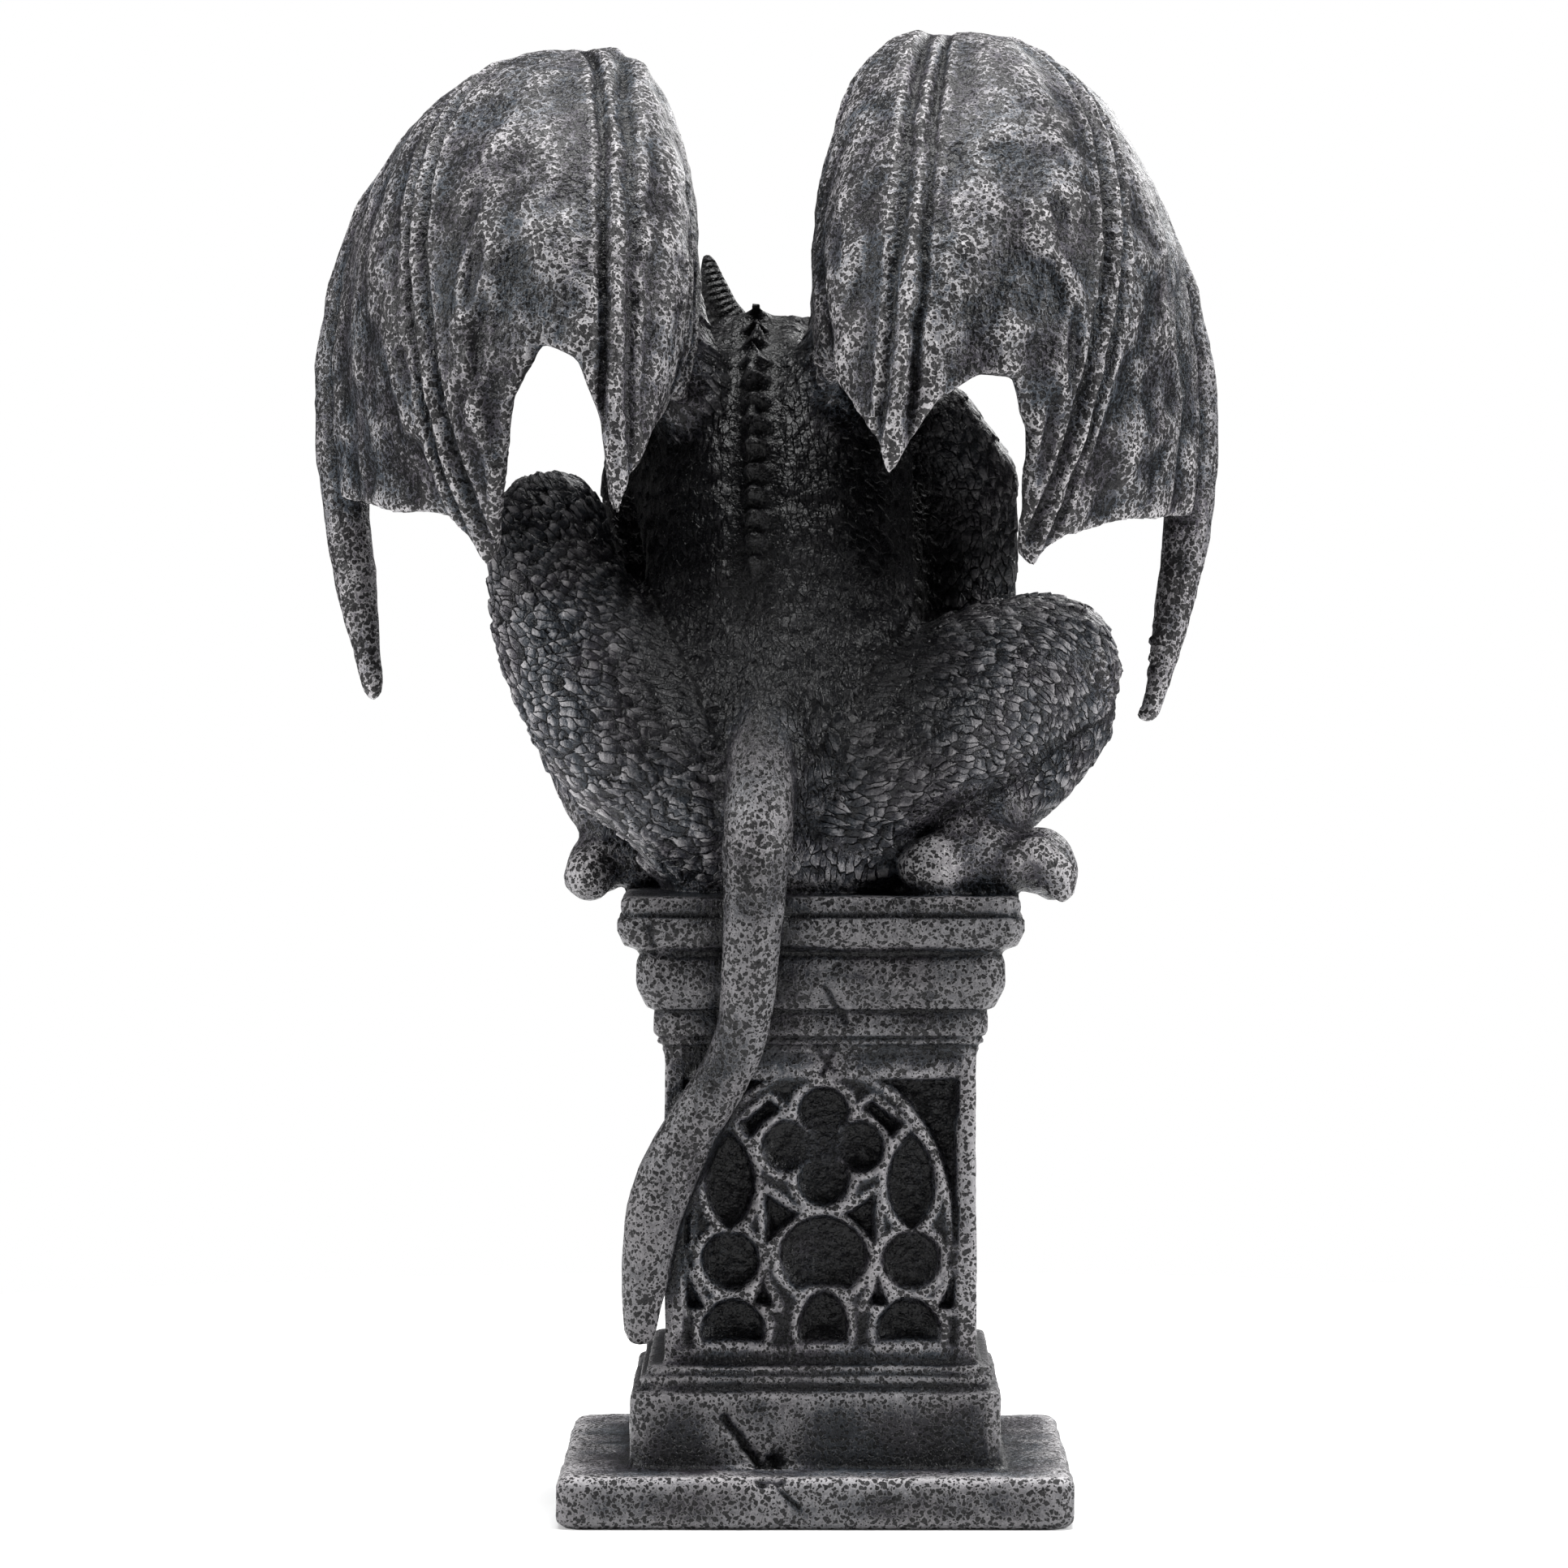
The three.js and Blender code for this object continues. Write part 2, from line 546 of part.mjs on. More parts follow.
const RIGHT_WING = {
  wrist: [26.1, 12, 167],
  lines: [
    [[0.4, 6.7, 151.2], [11.1, -1.7, 116.3], [1.6, -7, 94.5]],
    [[3.1, -2.3, 178], [-5.4, -34.6, 107.8], [8, -31, 92.5]],
    [[21.6, -14.1, 174.3], [20.2, -64.2, 127.4], [14.4, -53, 81.5]],
    [[56, 4, 172.8], [70.1, -57, 133], [40.3, -33.5, 64.5]],
    [[88.3, 19, 149.4], [80.4, 11.1, 77.6], [65.5, 5, 31.5]],
  ],
  hems: [
    [1, 0.92],
    [0.83, 0.845, 0.93, 0.965],
    [1, 0.95, 0.89, 0.85, 0.845, 0.9, 0.975],
    [1, 0.96, 0.93, 0.88, 0.835, 0.78],
    [0.72],
  ],
};
// The columns of each panel of the web, and how far each line stands out from it as a rib
const COLUMN_SHARES = [
  [0, 0.5],
  [0, 0.3, 0.6, 0.86],
  [0, 0.1, 0.24, 0.42, 0.6, 0.77, 0.9],
  [0, 0.1, 0.24, 0.42, 0.6, 0.78],
  [0],
];
const RIB_RISE_SHARES = [0, 0.4, 1.5, 1.5, 0];
const WING_ROWS = 9;
const WING_START_SHARE = 0.05;
const WEB_SWELL_SHARE = 2.2;

function wingLines(wing) {
  const wrist = at(...wing.wrist);
  return wing.lines.map((line) => new THREE.CubicBezierCurve3(wrist, ...line.map((point) => at(...point))));
}

// The middle of the web, across the lines by u and down them by v
function webPoint(curves, u, v) {
  const last = curves.length - 1;
  const i = Math.min(Math.floor(u), last - 1);
  const s = u - i;
  const here = [i - 1, i, i + 1, i + 2].map((k) => curves[Math.min(Math.max(k, 0), last)].getPoint(v));
  if (i === 0) here[0].copy(here[1]).multiplyScalar(2).sub(here[2]);
  if (i === last - 1) here[3].copy(here[2]).multiplyScalar(2).sub(here[1]);
  const weights = [
    (-s + 2 * s * s - s * s * s) / 2,
    (2 - 5 * s * s + 3 * s * s * s) / 2,
    (s + 4 * s * s - 3 * s * s * s) / 2,
    (-s * s + s * s * s) / 2,
  ];
  const point = new THREE.Vector3();
  here.forEach((p, k) => point.addScaledVector(p, weights[k]));
  return point;
}

function webNormal(curves, u, v) {
  const step = 0.01;
  const across = webPoint(curves, Math.min(u + step, curves.length - 1), v).sub(webPoint(curves, Math.max(u - step, 0), v));
  const down = webPoint(curves, u, Math.min(v + step, 1)).sub(webPoint(curves, u, v - step));
  return across.cross(down).normalize();
}

function webGrid(wing, outward) {
  const curves = wingLines(wing);
  const outer = [];
  const inner = [];
  const addColumn = (panel, s, end) => {
    const u = panel + s;
    const rib = (s === 0 ? RIB_RISE_SHARES[panel] : 0) * UNIT;
    const faces = [[], []];
    for (let row = 0; row <= WING_ROWS; row++) {
      const v = THREE.MathUtils.lerp(WING_START_SHARE, end, row / WING_ROWS);
      const normal = webNormal(curves, u, v).multiplyScalar(outward);
      const swell = WEB_SWELL_SHARE * Math.sin(Math.PI * s) * Math.sin(Math.PI * Math.min(v, 1)) * UNIT;
      const middle = webPoint(curves, u, v).addScaledVector(normal, swell);
      faces[0].push(middle.clone().addScaledVector(normal, WING_THICKNESS / 2 + rib));
      faces[1].push(middle.clone().addScaledVector(normal, -WING_THICKNESS / 2 - rib));
    }
    outer.push(faces[0]);
    inner.push(faces[1]);
  };
  COLUMN_SHARES.forEach((shares, panel) => shares.forEach((s, i) => addColumn(panel, s, wing.hems[panel][i])));
  return [outer, inner];
}

// The web as one closed sheet: its outer and inner faces, and the rim between them
function webSolid(wing, outward) {
  const [outer, inner] = webGrid(wing, outward);
  const rows = WING_ROWS + 1;
  const columns = outer.length;
  const points = [...outer.flat(), ...inner.flat()];
  const below = rows * columns;
  const faces = [];
  const quad = (a, b, c, d) => faces.push(a, b, c, a, c, d);
  for (let c = 0; c + 1 < columns; c++) {
    for (let r = 0; r + 1 < rows; r++) {
      const a = c * rows + r;
      quad(a, a + 1, a + rows + 1, a + rows);
      quad(below + a + rows, below + a + rows + 1, below + a + 1, below + a);
    }
    for (const r of [0, rows - 1]) {
      const a = c * rows + r;
      if (r === 0) quad(a, a + rows, below + a + rows, below + a);
      else quad(a + rows, a, below + a, below + a + rows);
    }
  }
  for (let r = 0; r + 1 < rows; r++) {
    const last = (columns - 1) * rows + r;
    quad(r + 1, r, below + r, below + r + 1);
    quad(last, last + 1, below + last + 1, below + last);
  }
  const geometry = new THREE.BufferGeometry().setFromPoints(points);
  geometry.setIndex(facingOut(points, faces));
  return solidOf(geometry);
}

// The bones that stand free of the web: the arm from the shoulder to the wrist, and the leading finger
const BONES = [
  { line: 0, radii: [5, 4.6, 5.6, 9.5], to: 1, rings: 5, domes: [0.7] },
  { line: 4, radii: [4.2, 4, 4, 5.2, 4.8, 2.2], to: 0.98, rings: 9, domes: [0.7] },
];

function wingBones(wing) {
  const curves = wingLines(wing);
  return BONES.map(({ line, radii, to, rings, domes }) => limb(
    radii.map((radius, i) => [curves[line].getPoint((to * i) / (radii.length - 1)), radius]),
    { rings, sides: 6, domes },
  ));
}

function wings() {
  return [
    webSolid(LEFT_WING, 1),
    webSolid(RIGHT_WING, -1),
    ...[...wingBones(LEFT_WING), ...wingBones(RIGHT_WING)].map(solidOf),
  ];
}

function meshOf(name, solid, material) {
  const { vertProperties, triVerts } = solid.getMesh();
  const geometry = new THREE.BufferGeometry();
  geometry.setAttribute('position', new THREE.BufferAttribute(new Float32Array(vertProperties), 3));
  geometry.setIndex(new THREE.BufferAttribute(new Uint32Array(triVerts), 1));
  geometry.computeVertexNormals();
  const mesh = new THREE.Mesh(geometry, material);
  mesh.name = name;
  return mesh;
}

const stoneGreyResin = new THREE.MeshStandardMaterial({ color: 0x3c3c40, roughness: 0.55, metalness: 0 });

const figure = [
  ...trunk(),
  ...spinePlates(),
  ...hindLegs(),
  ...forelegs(),
  ...paws(),
  tail(),
].map(solidOf);

const statue = joined([plinth(), ...figure, headSolid(), ...wings()]);

const gargoyleStatue = new THREE.Group();
gargoyleStatue.add(meshOf('gargoyle_statue', statue, stoneGreyResin));

export default gargoyleStatue;
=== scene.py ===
# Gargoyle statue on a Gothic plinth, one resin casting, seen from behind. Metres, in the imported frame.
import itertools
import json
import math

import bpy
import numpy as np
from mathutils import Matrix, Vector
from mathutils.bvhtree import BVHTree

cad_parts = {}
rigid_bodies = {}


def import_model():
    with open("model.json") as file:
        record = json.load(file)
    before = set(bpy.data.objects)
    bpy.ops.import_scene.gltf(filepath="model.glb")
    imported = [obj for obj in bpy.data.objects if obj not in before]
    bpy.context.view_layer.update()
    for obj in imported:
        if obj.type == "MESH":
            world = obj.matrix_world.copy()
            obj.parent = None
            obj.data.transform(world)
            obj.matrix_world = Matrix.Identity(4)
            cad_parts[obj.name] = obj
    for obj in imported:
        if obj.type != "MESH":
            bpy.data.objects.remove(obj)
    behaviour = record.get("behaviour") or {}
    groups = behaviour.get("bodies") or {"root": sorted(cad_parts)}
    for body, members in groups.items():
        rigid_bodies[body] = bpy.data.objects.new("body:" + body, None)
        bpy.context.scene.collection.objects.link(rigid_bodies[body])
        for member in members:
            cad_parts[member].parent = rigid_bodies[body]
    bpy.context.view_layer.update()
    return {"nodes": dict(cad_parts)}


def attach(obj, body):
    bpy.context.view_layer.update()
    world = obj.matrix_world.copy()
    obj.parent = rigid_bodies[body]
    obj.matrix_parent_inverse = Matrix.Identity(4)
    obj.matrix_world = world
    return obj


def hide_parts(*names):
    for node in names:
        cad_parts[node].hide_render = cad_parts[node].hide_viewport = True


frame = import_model()


# The raw casting.
# The whole statue is poured in one mould, so it starts as a copy of the one solid, welded, with its windows
# filled flush so that they can be carved again with soft edges.
MM = 0.001
PLINTH_TOP = 121.5
SHAFT = {"shift": 1.0, "half": 30.4, "foot": 29.7, "head": 90.4}
SKIN_GRID = 0.7


def only(piece):
    """Selects one object, and nothing else."""
    bpy.ops.object.select_all(action="DESELECT")
    piece.select_set(True)
    bpy.context.view_layer.objects.active = piece


statue = bpy.data.objects.new("statue", frame["nodes"]["gargoyle_statue"].data.copy())
bpy.context.scene.collection.objects.link(statue)
statue.data.materials.clear()
only(statue)
bpy.ops.object.mode_set(mode="EDIT")
bpy.ops.mesh.select_all(action="SELECT")
bpy.ops.mesh.remove_doubles(threshold=0.01 * MM)
bpy.ops.object.mode_set(mode="OBJECT")

bpy.ops.object.select_all(action="DESELECT")
bpy.ops.mesh.primitive_cube_add(
    size=1,
    location=(SHAFT["shift"] * MM, 0, (SHAFT["foot"] + SHAFT["head"]) / 2 * MM),
    scale=(2 * SHAFT["half"] * MM, 2 * SHAFT["half"] * MM, (SHAFT["head"] - SHAFT["foot"] + 2) * MM),
)
shaft_fill = bpy.context.object
extras = [shaft_fill]


# The plates down the spine.
# A row of horny scales is cast on the spine, from the nape to the middle of the back. Each is a flattened
# ball that leans out of the one above it: pointed at the nape, and round as a bead further down.
PLATE_X = -11.8
PLATE_THICK = 1.7
NAPE = 111
PLATES = [
    # middle height above the plinth, half-width, half-height, how pointed, lean out in degrees
    (115.2, 2.4, 3.4, 1.0, 46),
    (111.4, 3.0, 3.2, 1.0, 44),
    (107.8, 3.1, 3.0, 1.0, 42),
    (104.4, 3.1, 3.0, 0.9, 38),
    (100.6, 3.0, 2.9, 0.6, 36),
    (96.4, 2.9, 2.7, 0.4, 34),
    (92.0, 2.9, 2.6, 0.3, 32),
    (87.4, 2.9, 2.5, 0.2, 30),
    (82.8, 2.8, 2.4, 0.2, 28),
    (78.2, 2.7, 2.3, 0.2, 26),
    (73.6, 2.5, 2.1, 0.2, 24),
    (69.2, 2.3, 1.9, 0.2, 24),
    (65.0, 2.0, 1.6, 0.2, 24),
]


def back_of(piece, height):
    """How far behind the middle the piece's back lies beside the spine, at a height above the plinth."""
    hits = [
        piece.ray_cast(Vector(((PLATE_X + side) * MM, -0.2, (PLINTH_TOP + height) * MM)), Vector((0, 1, 0)))
        for side in (-5.5, 5.5)
    ]
    return sum(spot.y for found, spot, _, _ in hits if found) / max(sum(hit[0] for hit in hits), 1) / MM


plate_places = [back_of(statue, min(plate[0], NAPE)) for plate in PLATES]
for (height, half_wide, half_high, pointed, lean), behind in zip(PLATES, plate_places):
    bpy.ops.object.select_all(action="DESELECT")
    bpy.ops.mesh.primitive_uv_sphere_add(segments=24, ring_count=14, radius=1, location=(0, 0, 0))
    plate = bpy.context.object
    for vertex in plate.data.vertices:
        x, y, z = vertex.co
        rise = max(z, 0)
        keep = 1 - pointed * 0.9 * rise
        tall = half_high * (1 + 0.4 * pointed)
        vertex.co = Vector((x * half_wide * keep, y * PLATE_THICK * keep - 1.2 * rise, z * tall))
    plate.rotation_euler = (math.radians(lean), 0, math.radians(-10))
    plate.scale = (MM, MM, MM)
    deep = behind - 1.6 + 1.4 * max(height - NAPE, 0)
    plate.location = (PLATE_X * MM, deep * MM, (PLINTH_TOP + height) * MM)
    bpy.ops.object.transform_apply(location=True, rotation=True, scale=True)
    extras.append(plate)


# The tail.
# It is cast against the back of the plinth, from a ridge on the rump to the shaft's left corner. A tube on
# one smooth line is fused over the solid's own, so that no moulding pinches it.
ON_TAIL = 1.3  # a point within this share of the tail's thickness from its line is on the tail
TAIL = [
    # x, y, height and thickness
    (-9.6, -24, 171, 2.0), (-9.8, -30.5, 160, 4.2), (-10.3, -37, 148, 6.0), (-11.0, -42.3, 134, 6.3),
    (-11.8, -44.0, 121, 5.9), (-12.4, -43.3, 112, 5.5), (-12.9, -41.4, 103, 5.2), (-14.2, -38.2, 94.5, 5.0),
    (-17.6, -35.6, 86.5, 5.0), (-23.0, -34.6, 78, 5.2), (-28.2, -34.2, 70, 5.4), (-31.4, -34.0, 61, 5.5),
    (-33.0, -33.8, 50, 4.9), (-34.0, -33.3, 40, 3.7), (-34.4, -33.0, 34.5, 2.2),
]

bpy.ops.object.select_all(action="DESELECT")
bpy.ops.curve.primitive_nurbs_path_add(location=(0, 0, 0))
tail_tube = bpy.context.object
line = tail_tube.data.splines[0]
line.points.add(len(TAIL) - len(line.points))
line.order_u = 3
line.use_endpoint_u = True
for point, (x, y, z, thick) in zip(line.points, TAIL):
    point.co = (x * MM, y * MM, z * MM, 1)
    point.radius = thick
tail_tube.data.bevel_depth = MM
tail_tube.data.bevel_resolution = 6
tail_tube.data.use_fill_caps = True
bpy.ops.object.convert(target="MESH")
extras.append(bpy.context.object)


# The hind feet.
# Each is a thick fist of toes that grips the plinth's side, with a round heel behind it. Round lumps are
# fused into the solid's paws, so that they have the weight of the real ones.
FEET = [
    # the middle of a lump, and its half-sizes
    ((-43.5, 3, 126.0), (6.4, 8.5, 5.8)),
    ((-46.0, 6, 123.5), (4.6, 6.5, 4.6)),
    ((-45.0, -3, 124.0), (4.8, 5.0, 5.0)),
    ((24.0, -30, 127.0), (8.0, 6.5, 6.2)),
    ((34.0, -27, 128.5), (9.0, 7.5, 6.6)),
    ((43.5, -26, 128.0), (7.2, 7.5, 6.6)),
    ((46.5, -24, 125.5), (5.0, 6.0, 5.4)),
]
for spot, sizes in FEET:
    bpy.ops.object.select_all(action="DESELECT")
    bpy.ops.mesh.primitive_uv_sphere_add(
        segments=24, ring_count=14, radius=MM, location=[c * MM for c in spot], scale=sizes
    )
    extras.append(bpy.context.object)

bpy.ops.object.select_all(action="DESELECT")
for extra in extras:
    extra.select_set(True)
statue.select_set(True)
bpy.context.view_layer.objects.active = statue
bpy.ops.object.join()


# The cast skin.
# Resin fills the mould as one body, so all the shapes are fused into one even skin, and their flats are
# worn round: long rounds of easing on the beast's muscles, hardly any on the plinth's mouldings.
def finish_modifier(piece, kind, **settings):
    """Adds a modifier to the piece with its settings, and applies it."""
    modifier = piece.modifiers.new(kind.title(), kind)
    for name, value in settings.items():
        setattr(modifier, name, value)
    only(piece)
    bpy.ops.object.modifier_apply(modifier=modifier.name)


def places_of(piece):
    """The piece's points, in millimetres."""
    flat = np.empty(len(piece.data.vertices) * 3)
    piece.data.vertices.foreach_get("co", flat)
    return flat.reshape(-1, 3) / MM


def place(piece, places):
    piece.data.vertices.foreach_set("co", (places * MM).ravel())
    piece.data.update()


def normals_of(piece):
    flat = np.empty(len(piece.data.vertices) * 3, np.float32)
    piece.data.vertex_normals.foreach_get("vector", flat)
    return flat.reshape(-1, 3).astype(float)


def edges_of(piece):
    flat = np.empty(len(piece.data.edges) * 2, np.int32)
    piece.data.edges.foreach_get("vertices", flat)
    return flat.reshape(-1, 2)


def eased(places, edges, rounds):
    """Places after each point has moved halfway to its neighbours' middle, for its own number of rounds."""
    a, b = edges.T
    size = len(places)
    count = np.bincount(a, minlength=size) + np.bincount(b, minlength=size)
    count = np.maximum(count, 1)[:, None]
    rounds = np.broadcast_to(rounds, size)
    for turn in range(int(rounds.max())):
        middle = np.stack([
            np.bincount(a, places[b, k], size) + np.bincount(b, places[a, k], size) for k in range(3)
        ], 1) / count
        places = np.where((rounds > turn)[:, None], (places + middle) / 2, places)
    return places


def eased_shares(shares, edges, rounds):
    """One number a point, eased as places are."""
    return eased(np.stack([shares] * 3, 1), edges, rounds)[:, 0]


def step(low, high, value):
    """0 below low and 1 above high, with a soft ramp between."""
    share = np.clip((value - low) / (high - low), 0, 1)
    return share * share * (3 - 2 * share)


def on_curve(before, here, there, after, s):
    """The place at share s between here and there, on the smooth curve through all four places."""
    return 0.5 * (
        2 * here
        + (there - before) * s
        + (2 * before - 5 * here + 4 * there - after) * s**2
        + (3 * here - before - 3 * there + after) * s**3
    )


def curve_through(points, count):
    """Evenly spread samples of a smooth curve through points, which may carry their thickness too."""
    points = np.asarray(points, float)
    ends = np.vstack([2 * points[0] - points[1], points, 2 * points[-1] - points[-2]])
    t = np.linspace(0, len(points) - 1, count)
    i = np.minimum(t.astype(int), len(points) - 2)
    return on_curve(*(ends[i + k] for k in range(4)), (t - i)[:, None])


# Each limb's middle line above the plinth, with its thickness
LIMBS = {
    "trunk": [(-5, -16, 14, 20), (-6, -18, 30, 23), (-7, -13, 50, 22), (-7.5, -6, 72, 23), (-9, 0, 86, 24),
              (-9.5, 7, 96, 20), (-5, 18, 100, 15), (0, 27, 98, 13)],
    "left_haunch": [(-14, -23, 16, 14.5), (-25, -23, 23, 17), (-36, -18, 34, 18), (-46, -10, 47, 16.5),
                    (-52, -2, 61, 13.5), (-53.5, 4, 75, 11.5)],
    "right_haunch": [(2, -22, 20, 15.5), (14, -21, 28, 18), (26, -13, 35, 18), (38, -1, 41.5, 16.5),
                     (49, 9, 44.5, 15)],
    "left_shin": [(-55, 7, 70, 9), (-52, 9, 46, 9), (-46.5, 7, 25, 8), (-38, 4, 8, 7)],
    "right_shin": [(51, 11, 36, 11), (46, 2, 26, 8.5), (37, -12, 17, 7.5), (28, -27, 8, 7)],
    "left_foreleg": [(-29, 5, 94, 11), (-34, 15, 78, 10.5), (-34, 22, 58, 9), (-32, 24, 43, 8),
                     (-25, 30, 24, 7), (-18, 32, 7, 6)],
    "right_foreleg": [(22, 12, 94, 11), (30, 18, 78, 12), (29, 23, 58, 11), (29.5, 26, 43, 9),
                      (24, 32, 24, 7), (17, 32, 7, 6)],
}
LIMB_LINES = {name: curve_through(points, 48) for name, points in LIMBS.items()}
TAIL_LINE = curve_through([(x, y, z - PLINTH_TOP, thick) for x, y, z, thick in TAIL], 90)


def beside(line, places):
    """For points beside a limb: their distance over its thickness, how far along it, how far round it."""
    middle = line[:, :3] + (0, 0, PLINTH_TOP)
    along = np.gradient(middle, axis=0)
    stride = np.linalg.norm(along, axis=1)
    along /= stride[:, None]
    length = np.concatenate([[0], np.cumsum(np.linalg.norm(np.diff(middle, axis=0), axis=1))])
    nearest = ((middle**2).sum(1) - 2 * places @ middle.T).argmin(1)
    away = places - middle[nearest]
    slide = (away * along[nearest]).sum(1)
    away -= slide[:, None] * along[nearest]
    thick = line[nearest, 3]
    behind = along * along[:, 1:2] - (0.0, 1.0, 0.0)
    behind /= np.linalg.norm(behind, axis=1)[:, None]
    sideways = np.cross(along, behind)
    turn = np.arctan2((away * sideways[nearest]).sum(1), (away * behind[nearest]).sum(1))
    beyond = np.where((nearest == 0) | (nearest == len(middle) - 1), slide, 0)
    reach = np.sqrt((away**2).sum(1) + beyond**2)
    return reach / thick, length[nearest] + slide, turn * thick


finish_modifier(statue, "REMESH", mode="VOXEL", voxel_size=SKIN_GRID * MM)
places = places_of(statue)
edges = edges_of(statue)

shares = {name: beside(line, places)[0] for name, line in LIMB_LINES.items()}
x, y, high = (places - (0, 0, PLINTH_TOP)).T
rounds = np.where(high > 0.6, 14, 2)
for limbs, turns in (
    (("trunk", "left_haunch", "right_haunch"), 90),
    (("left_shin", "right_shin"), 40),
    (("left_foreleg", "right_foreleg"), 40),
):
    on_limb = np.minimum.reduce([shares[name] for name in limbs]) < 1.25
    rounds = np.where((high > 1) & on_limb, turns, rounds)
rounds = np.where((beside(TAIL_LINE, places)[0] < ON_TAIL) & (high < 30), 16, rounds)
tail_ridge = (y < -20) & (np.abs(x + 10.5) < 16) & (high > 10) & (high < 56)
rounds = np.where(tail_ridge, 90, rounds)
on_plates = (np.abs(x - PLATE_X) < 6) & (high > 50) & (y < 8)
rounds = np.where(on_plates, 3, rounds)
places = eased(places, edges, rounds)
place(statue, places)

# What the easing took off is put back on
grow = np.where(rounds >= 40, 0.5, np.where(rounds >= 14, 0.2, 0.0))
places = places + normals_of(statue) * eased_shares(grow, edges, 10)[:, None]
place(statue, places)


# The wings.
# Each wing is a leathery skin hung over five bones that spread from the wrist. It is laid again on its
# smooth curves, with the ribs as double cords between grooves and slack folds above each scallop.
WING_HALF = 1.7  # half the skin's thickness
WING_SWELL = 2.2  # how far it swells between two bones
WING_LOW = 30  # no part of a wing hangs lower than this above the plinth
WINGS = {
    "left": {
        "outward": 1,
        "wrist": (-48.5, 12, 164),
        "lines": (
            ((-22.4, 6.5, 149.8), (-33.5, -1.9, 115.9), (-24, -7, 94.5)),
            ((-25.4, -8.2, 171), (-19.8, -35.8, 112.2), (-32, -32, 91.5)),
            ((-36.4, -6.8, 170.7), (-38.8, -68.4, 135.5), (-38.5, -52, 74)),
            ((-84.1, -10.1, 169.2), (-81.4, -55.6, 105.7), (-62.3, -32, 65.5)),
            ((-114.1, 22.3, 150.5), (-94.9, 10, 80.9), (-88, 5, 36)),
        ),
    },
    "right": {
        "outward": -1,
        "wrist": (26.1, 12, 167),
        "lines": (
            ((0.4, 6.7, 151.2), (11.1, -1.7, 116.3), (1.6, -7, 94.5)),
            ((3.1, -2.3, 178), (-5.4, -34.6, 107.8), (8, -31, 92.5)),
            ((21.6, -14.1, 174.3), (20.2, -64.2, 127.4), (14.4, -53, 81.5)),
            ((56, 4, 172.8), (70.1, -57, 133), (40.3, -33.5, 64.5)),
            ((88.3, 19, 149.4), (80.4, 11.1, 77.6), (65.5, 5, 31.5)),
        ),
    },
}
BONE_RADII = {0: (5, 4.6, 5.6, 9.5), 4: (4.2, 4, 4, 5.2, 4.8, 2.2)}  # the arm's and the finger's


def side_of(wing, places):
    """Which points are on the wing's side of the spine, and high enough to be on it."""
    on_side = places[:, 0] < PLATE_X if wing["outward"] > 0 else places[:, 0] > PLATE_X
    return on_side & (places[:, 2] > PLINTH_TOP + WING_LOW)


def web_middle(wing, u, v):
    """The middle of the wing's skin, across the bones by u and down them by v, without its swell."""
    bones = np.array([(wing["wrist"], *line) for line in wing["lines"]], float) + (0, 0, PLINTH_TOP)
    v = v[:, None]
    pull = np.hstack([(1 - v) ** 3, 3 * v * (1 - v) ** 2, 3 * v**2 * (1 - v), v**3])
    on_bones = np.einsum("nk,bkc->nbc", pull, bones)
    first = 2 * on_bones[:, :1] - on_bones[:, 1:2]
    last = 2 * on_bones[:, -1:] - on_bones[:, -2:-1]
    on_bones = np.concatenate([first, on_bones, last], 1)
    i = np.clip(u.astype(int), 0, len(bones) - 2)
    row = np.arange(len(u))
    return on_curve(*(on_bones[row, i + k] for k in range(4)), (u - i)[:, None])


def web_frame(wing, u, v):
    """The skin's middle with its swell, its outward normal, and the width in mm of one step in u."""
    nudge = 0.01
    across = web_middle(wing, np.minimum(u + nudge, 4), v) - web_middle(wing, np.maximum(u - nudge, 0), v)
    down = web_middle(wing, u, np.minimum(v + nudge, 1)) - web_middle(wing, u, v - nudge)
    normal = np.cross(across, down) * wing["outward"]
    normal /= np.linalg.norm(normal, axis=1)[:, None]
    swell = WING_SWELL * np.sin(np.pi * (u % 1)) * np.sin(np.pi * np.clip(v, 0, 1))
    width = np.linalg.norm(across, axis=1) / (np.minimum(u + nudge, 4) - np.maximum(u - nudge, 0))
    return web_middle(wing, u, v) + normal * swell[:, None], normal, width


def on_web(wing, places):
    """The nearest place on the skin to each point, as u and v."""
    columns, rows = 129, 101
    u, v = np.meshgrid(np.linspace(0, 4, columns), np.linspace(0.03, 1, rows), indexing="ij")
    u, v = u.ravel(), v.ravel()
    grid = web_frame(wing, u, v)[0]
    close = np.all((places > grid.min(0) - 8) & (places < grid.max(0) + 8), axis=1)
    corner = (np.arange(columns - 1)[:, None] * rows + np.arange(rows - 1)[None]).ravel()
    triangles = np.vstack([
        np.stack([corner, corner + 1, corner + rows + 1], 1),
        np.stack([corner, corner + rows + 1, corner + rows], 1),
    ])
    tree = BVHTree.FromPolygons(grid.tolist(), triangles.tolist())
    hits = [tree.find_nearest(point) for point in places[close].tolist()]
    spots = np.array([hit[0] for hit in hits])
    a, b, c = triangles[[hit[2] for hit in hits]].T
    e1, e2, e = grid[b] - grid[a], grid[c] - grid[a], spots - grid[a]
    d11, d12, d22 = (e1 * e1).sum(1), (e1 * e2).sum(1), (e2 * e2).sum(1)
    d1, d2 = (e * e1).sum(1), (e * e2).sum(1)
    bottom = d11 * d22 - d12**2
    s, t = (d22 * d1 - d12 * d2) / bottom, (d11 * d2 - d12 * d1) / bottom
    found = np.full((2, len(places)), 0.5)
    for row, share in enumerate((u, v)):
        found[row, close] = share[a] + s * (share[b] - share[a]) + t * (share[c] - share[a])
    return found


def scrambled(key):
    """A whole number that looks random, and is the same for the same key in each run."""
    return ((key ^ (key >> 13)) * 1274126177) & 0xFFFFFFFF


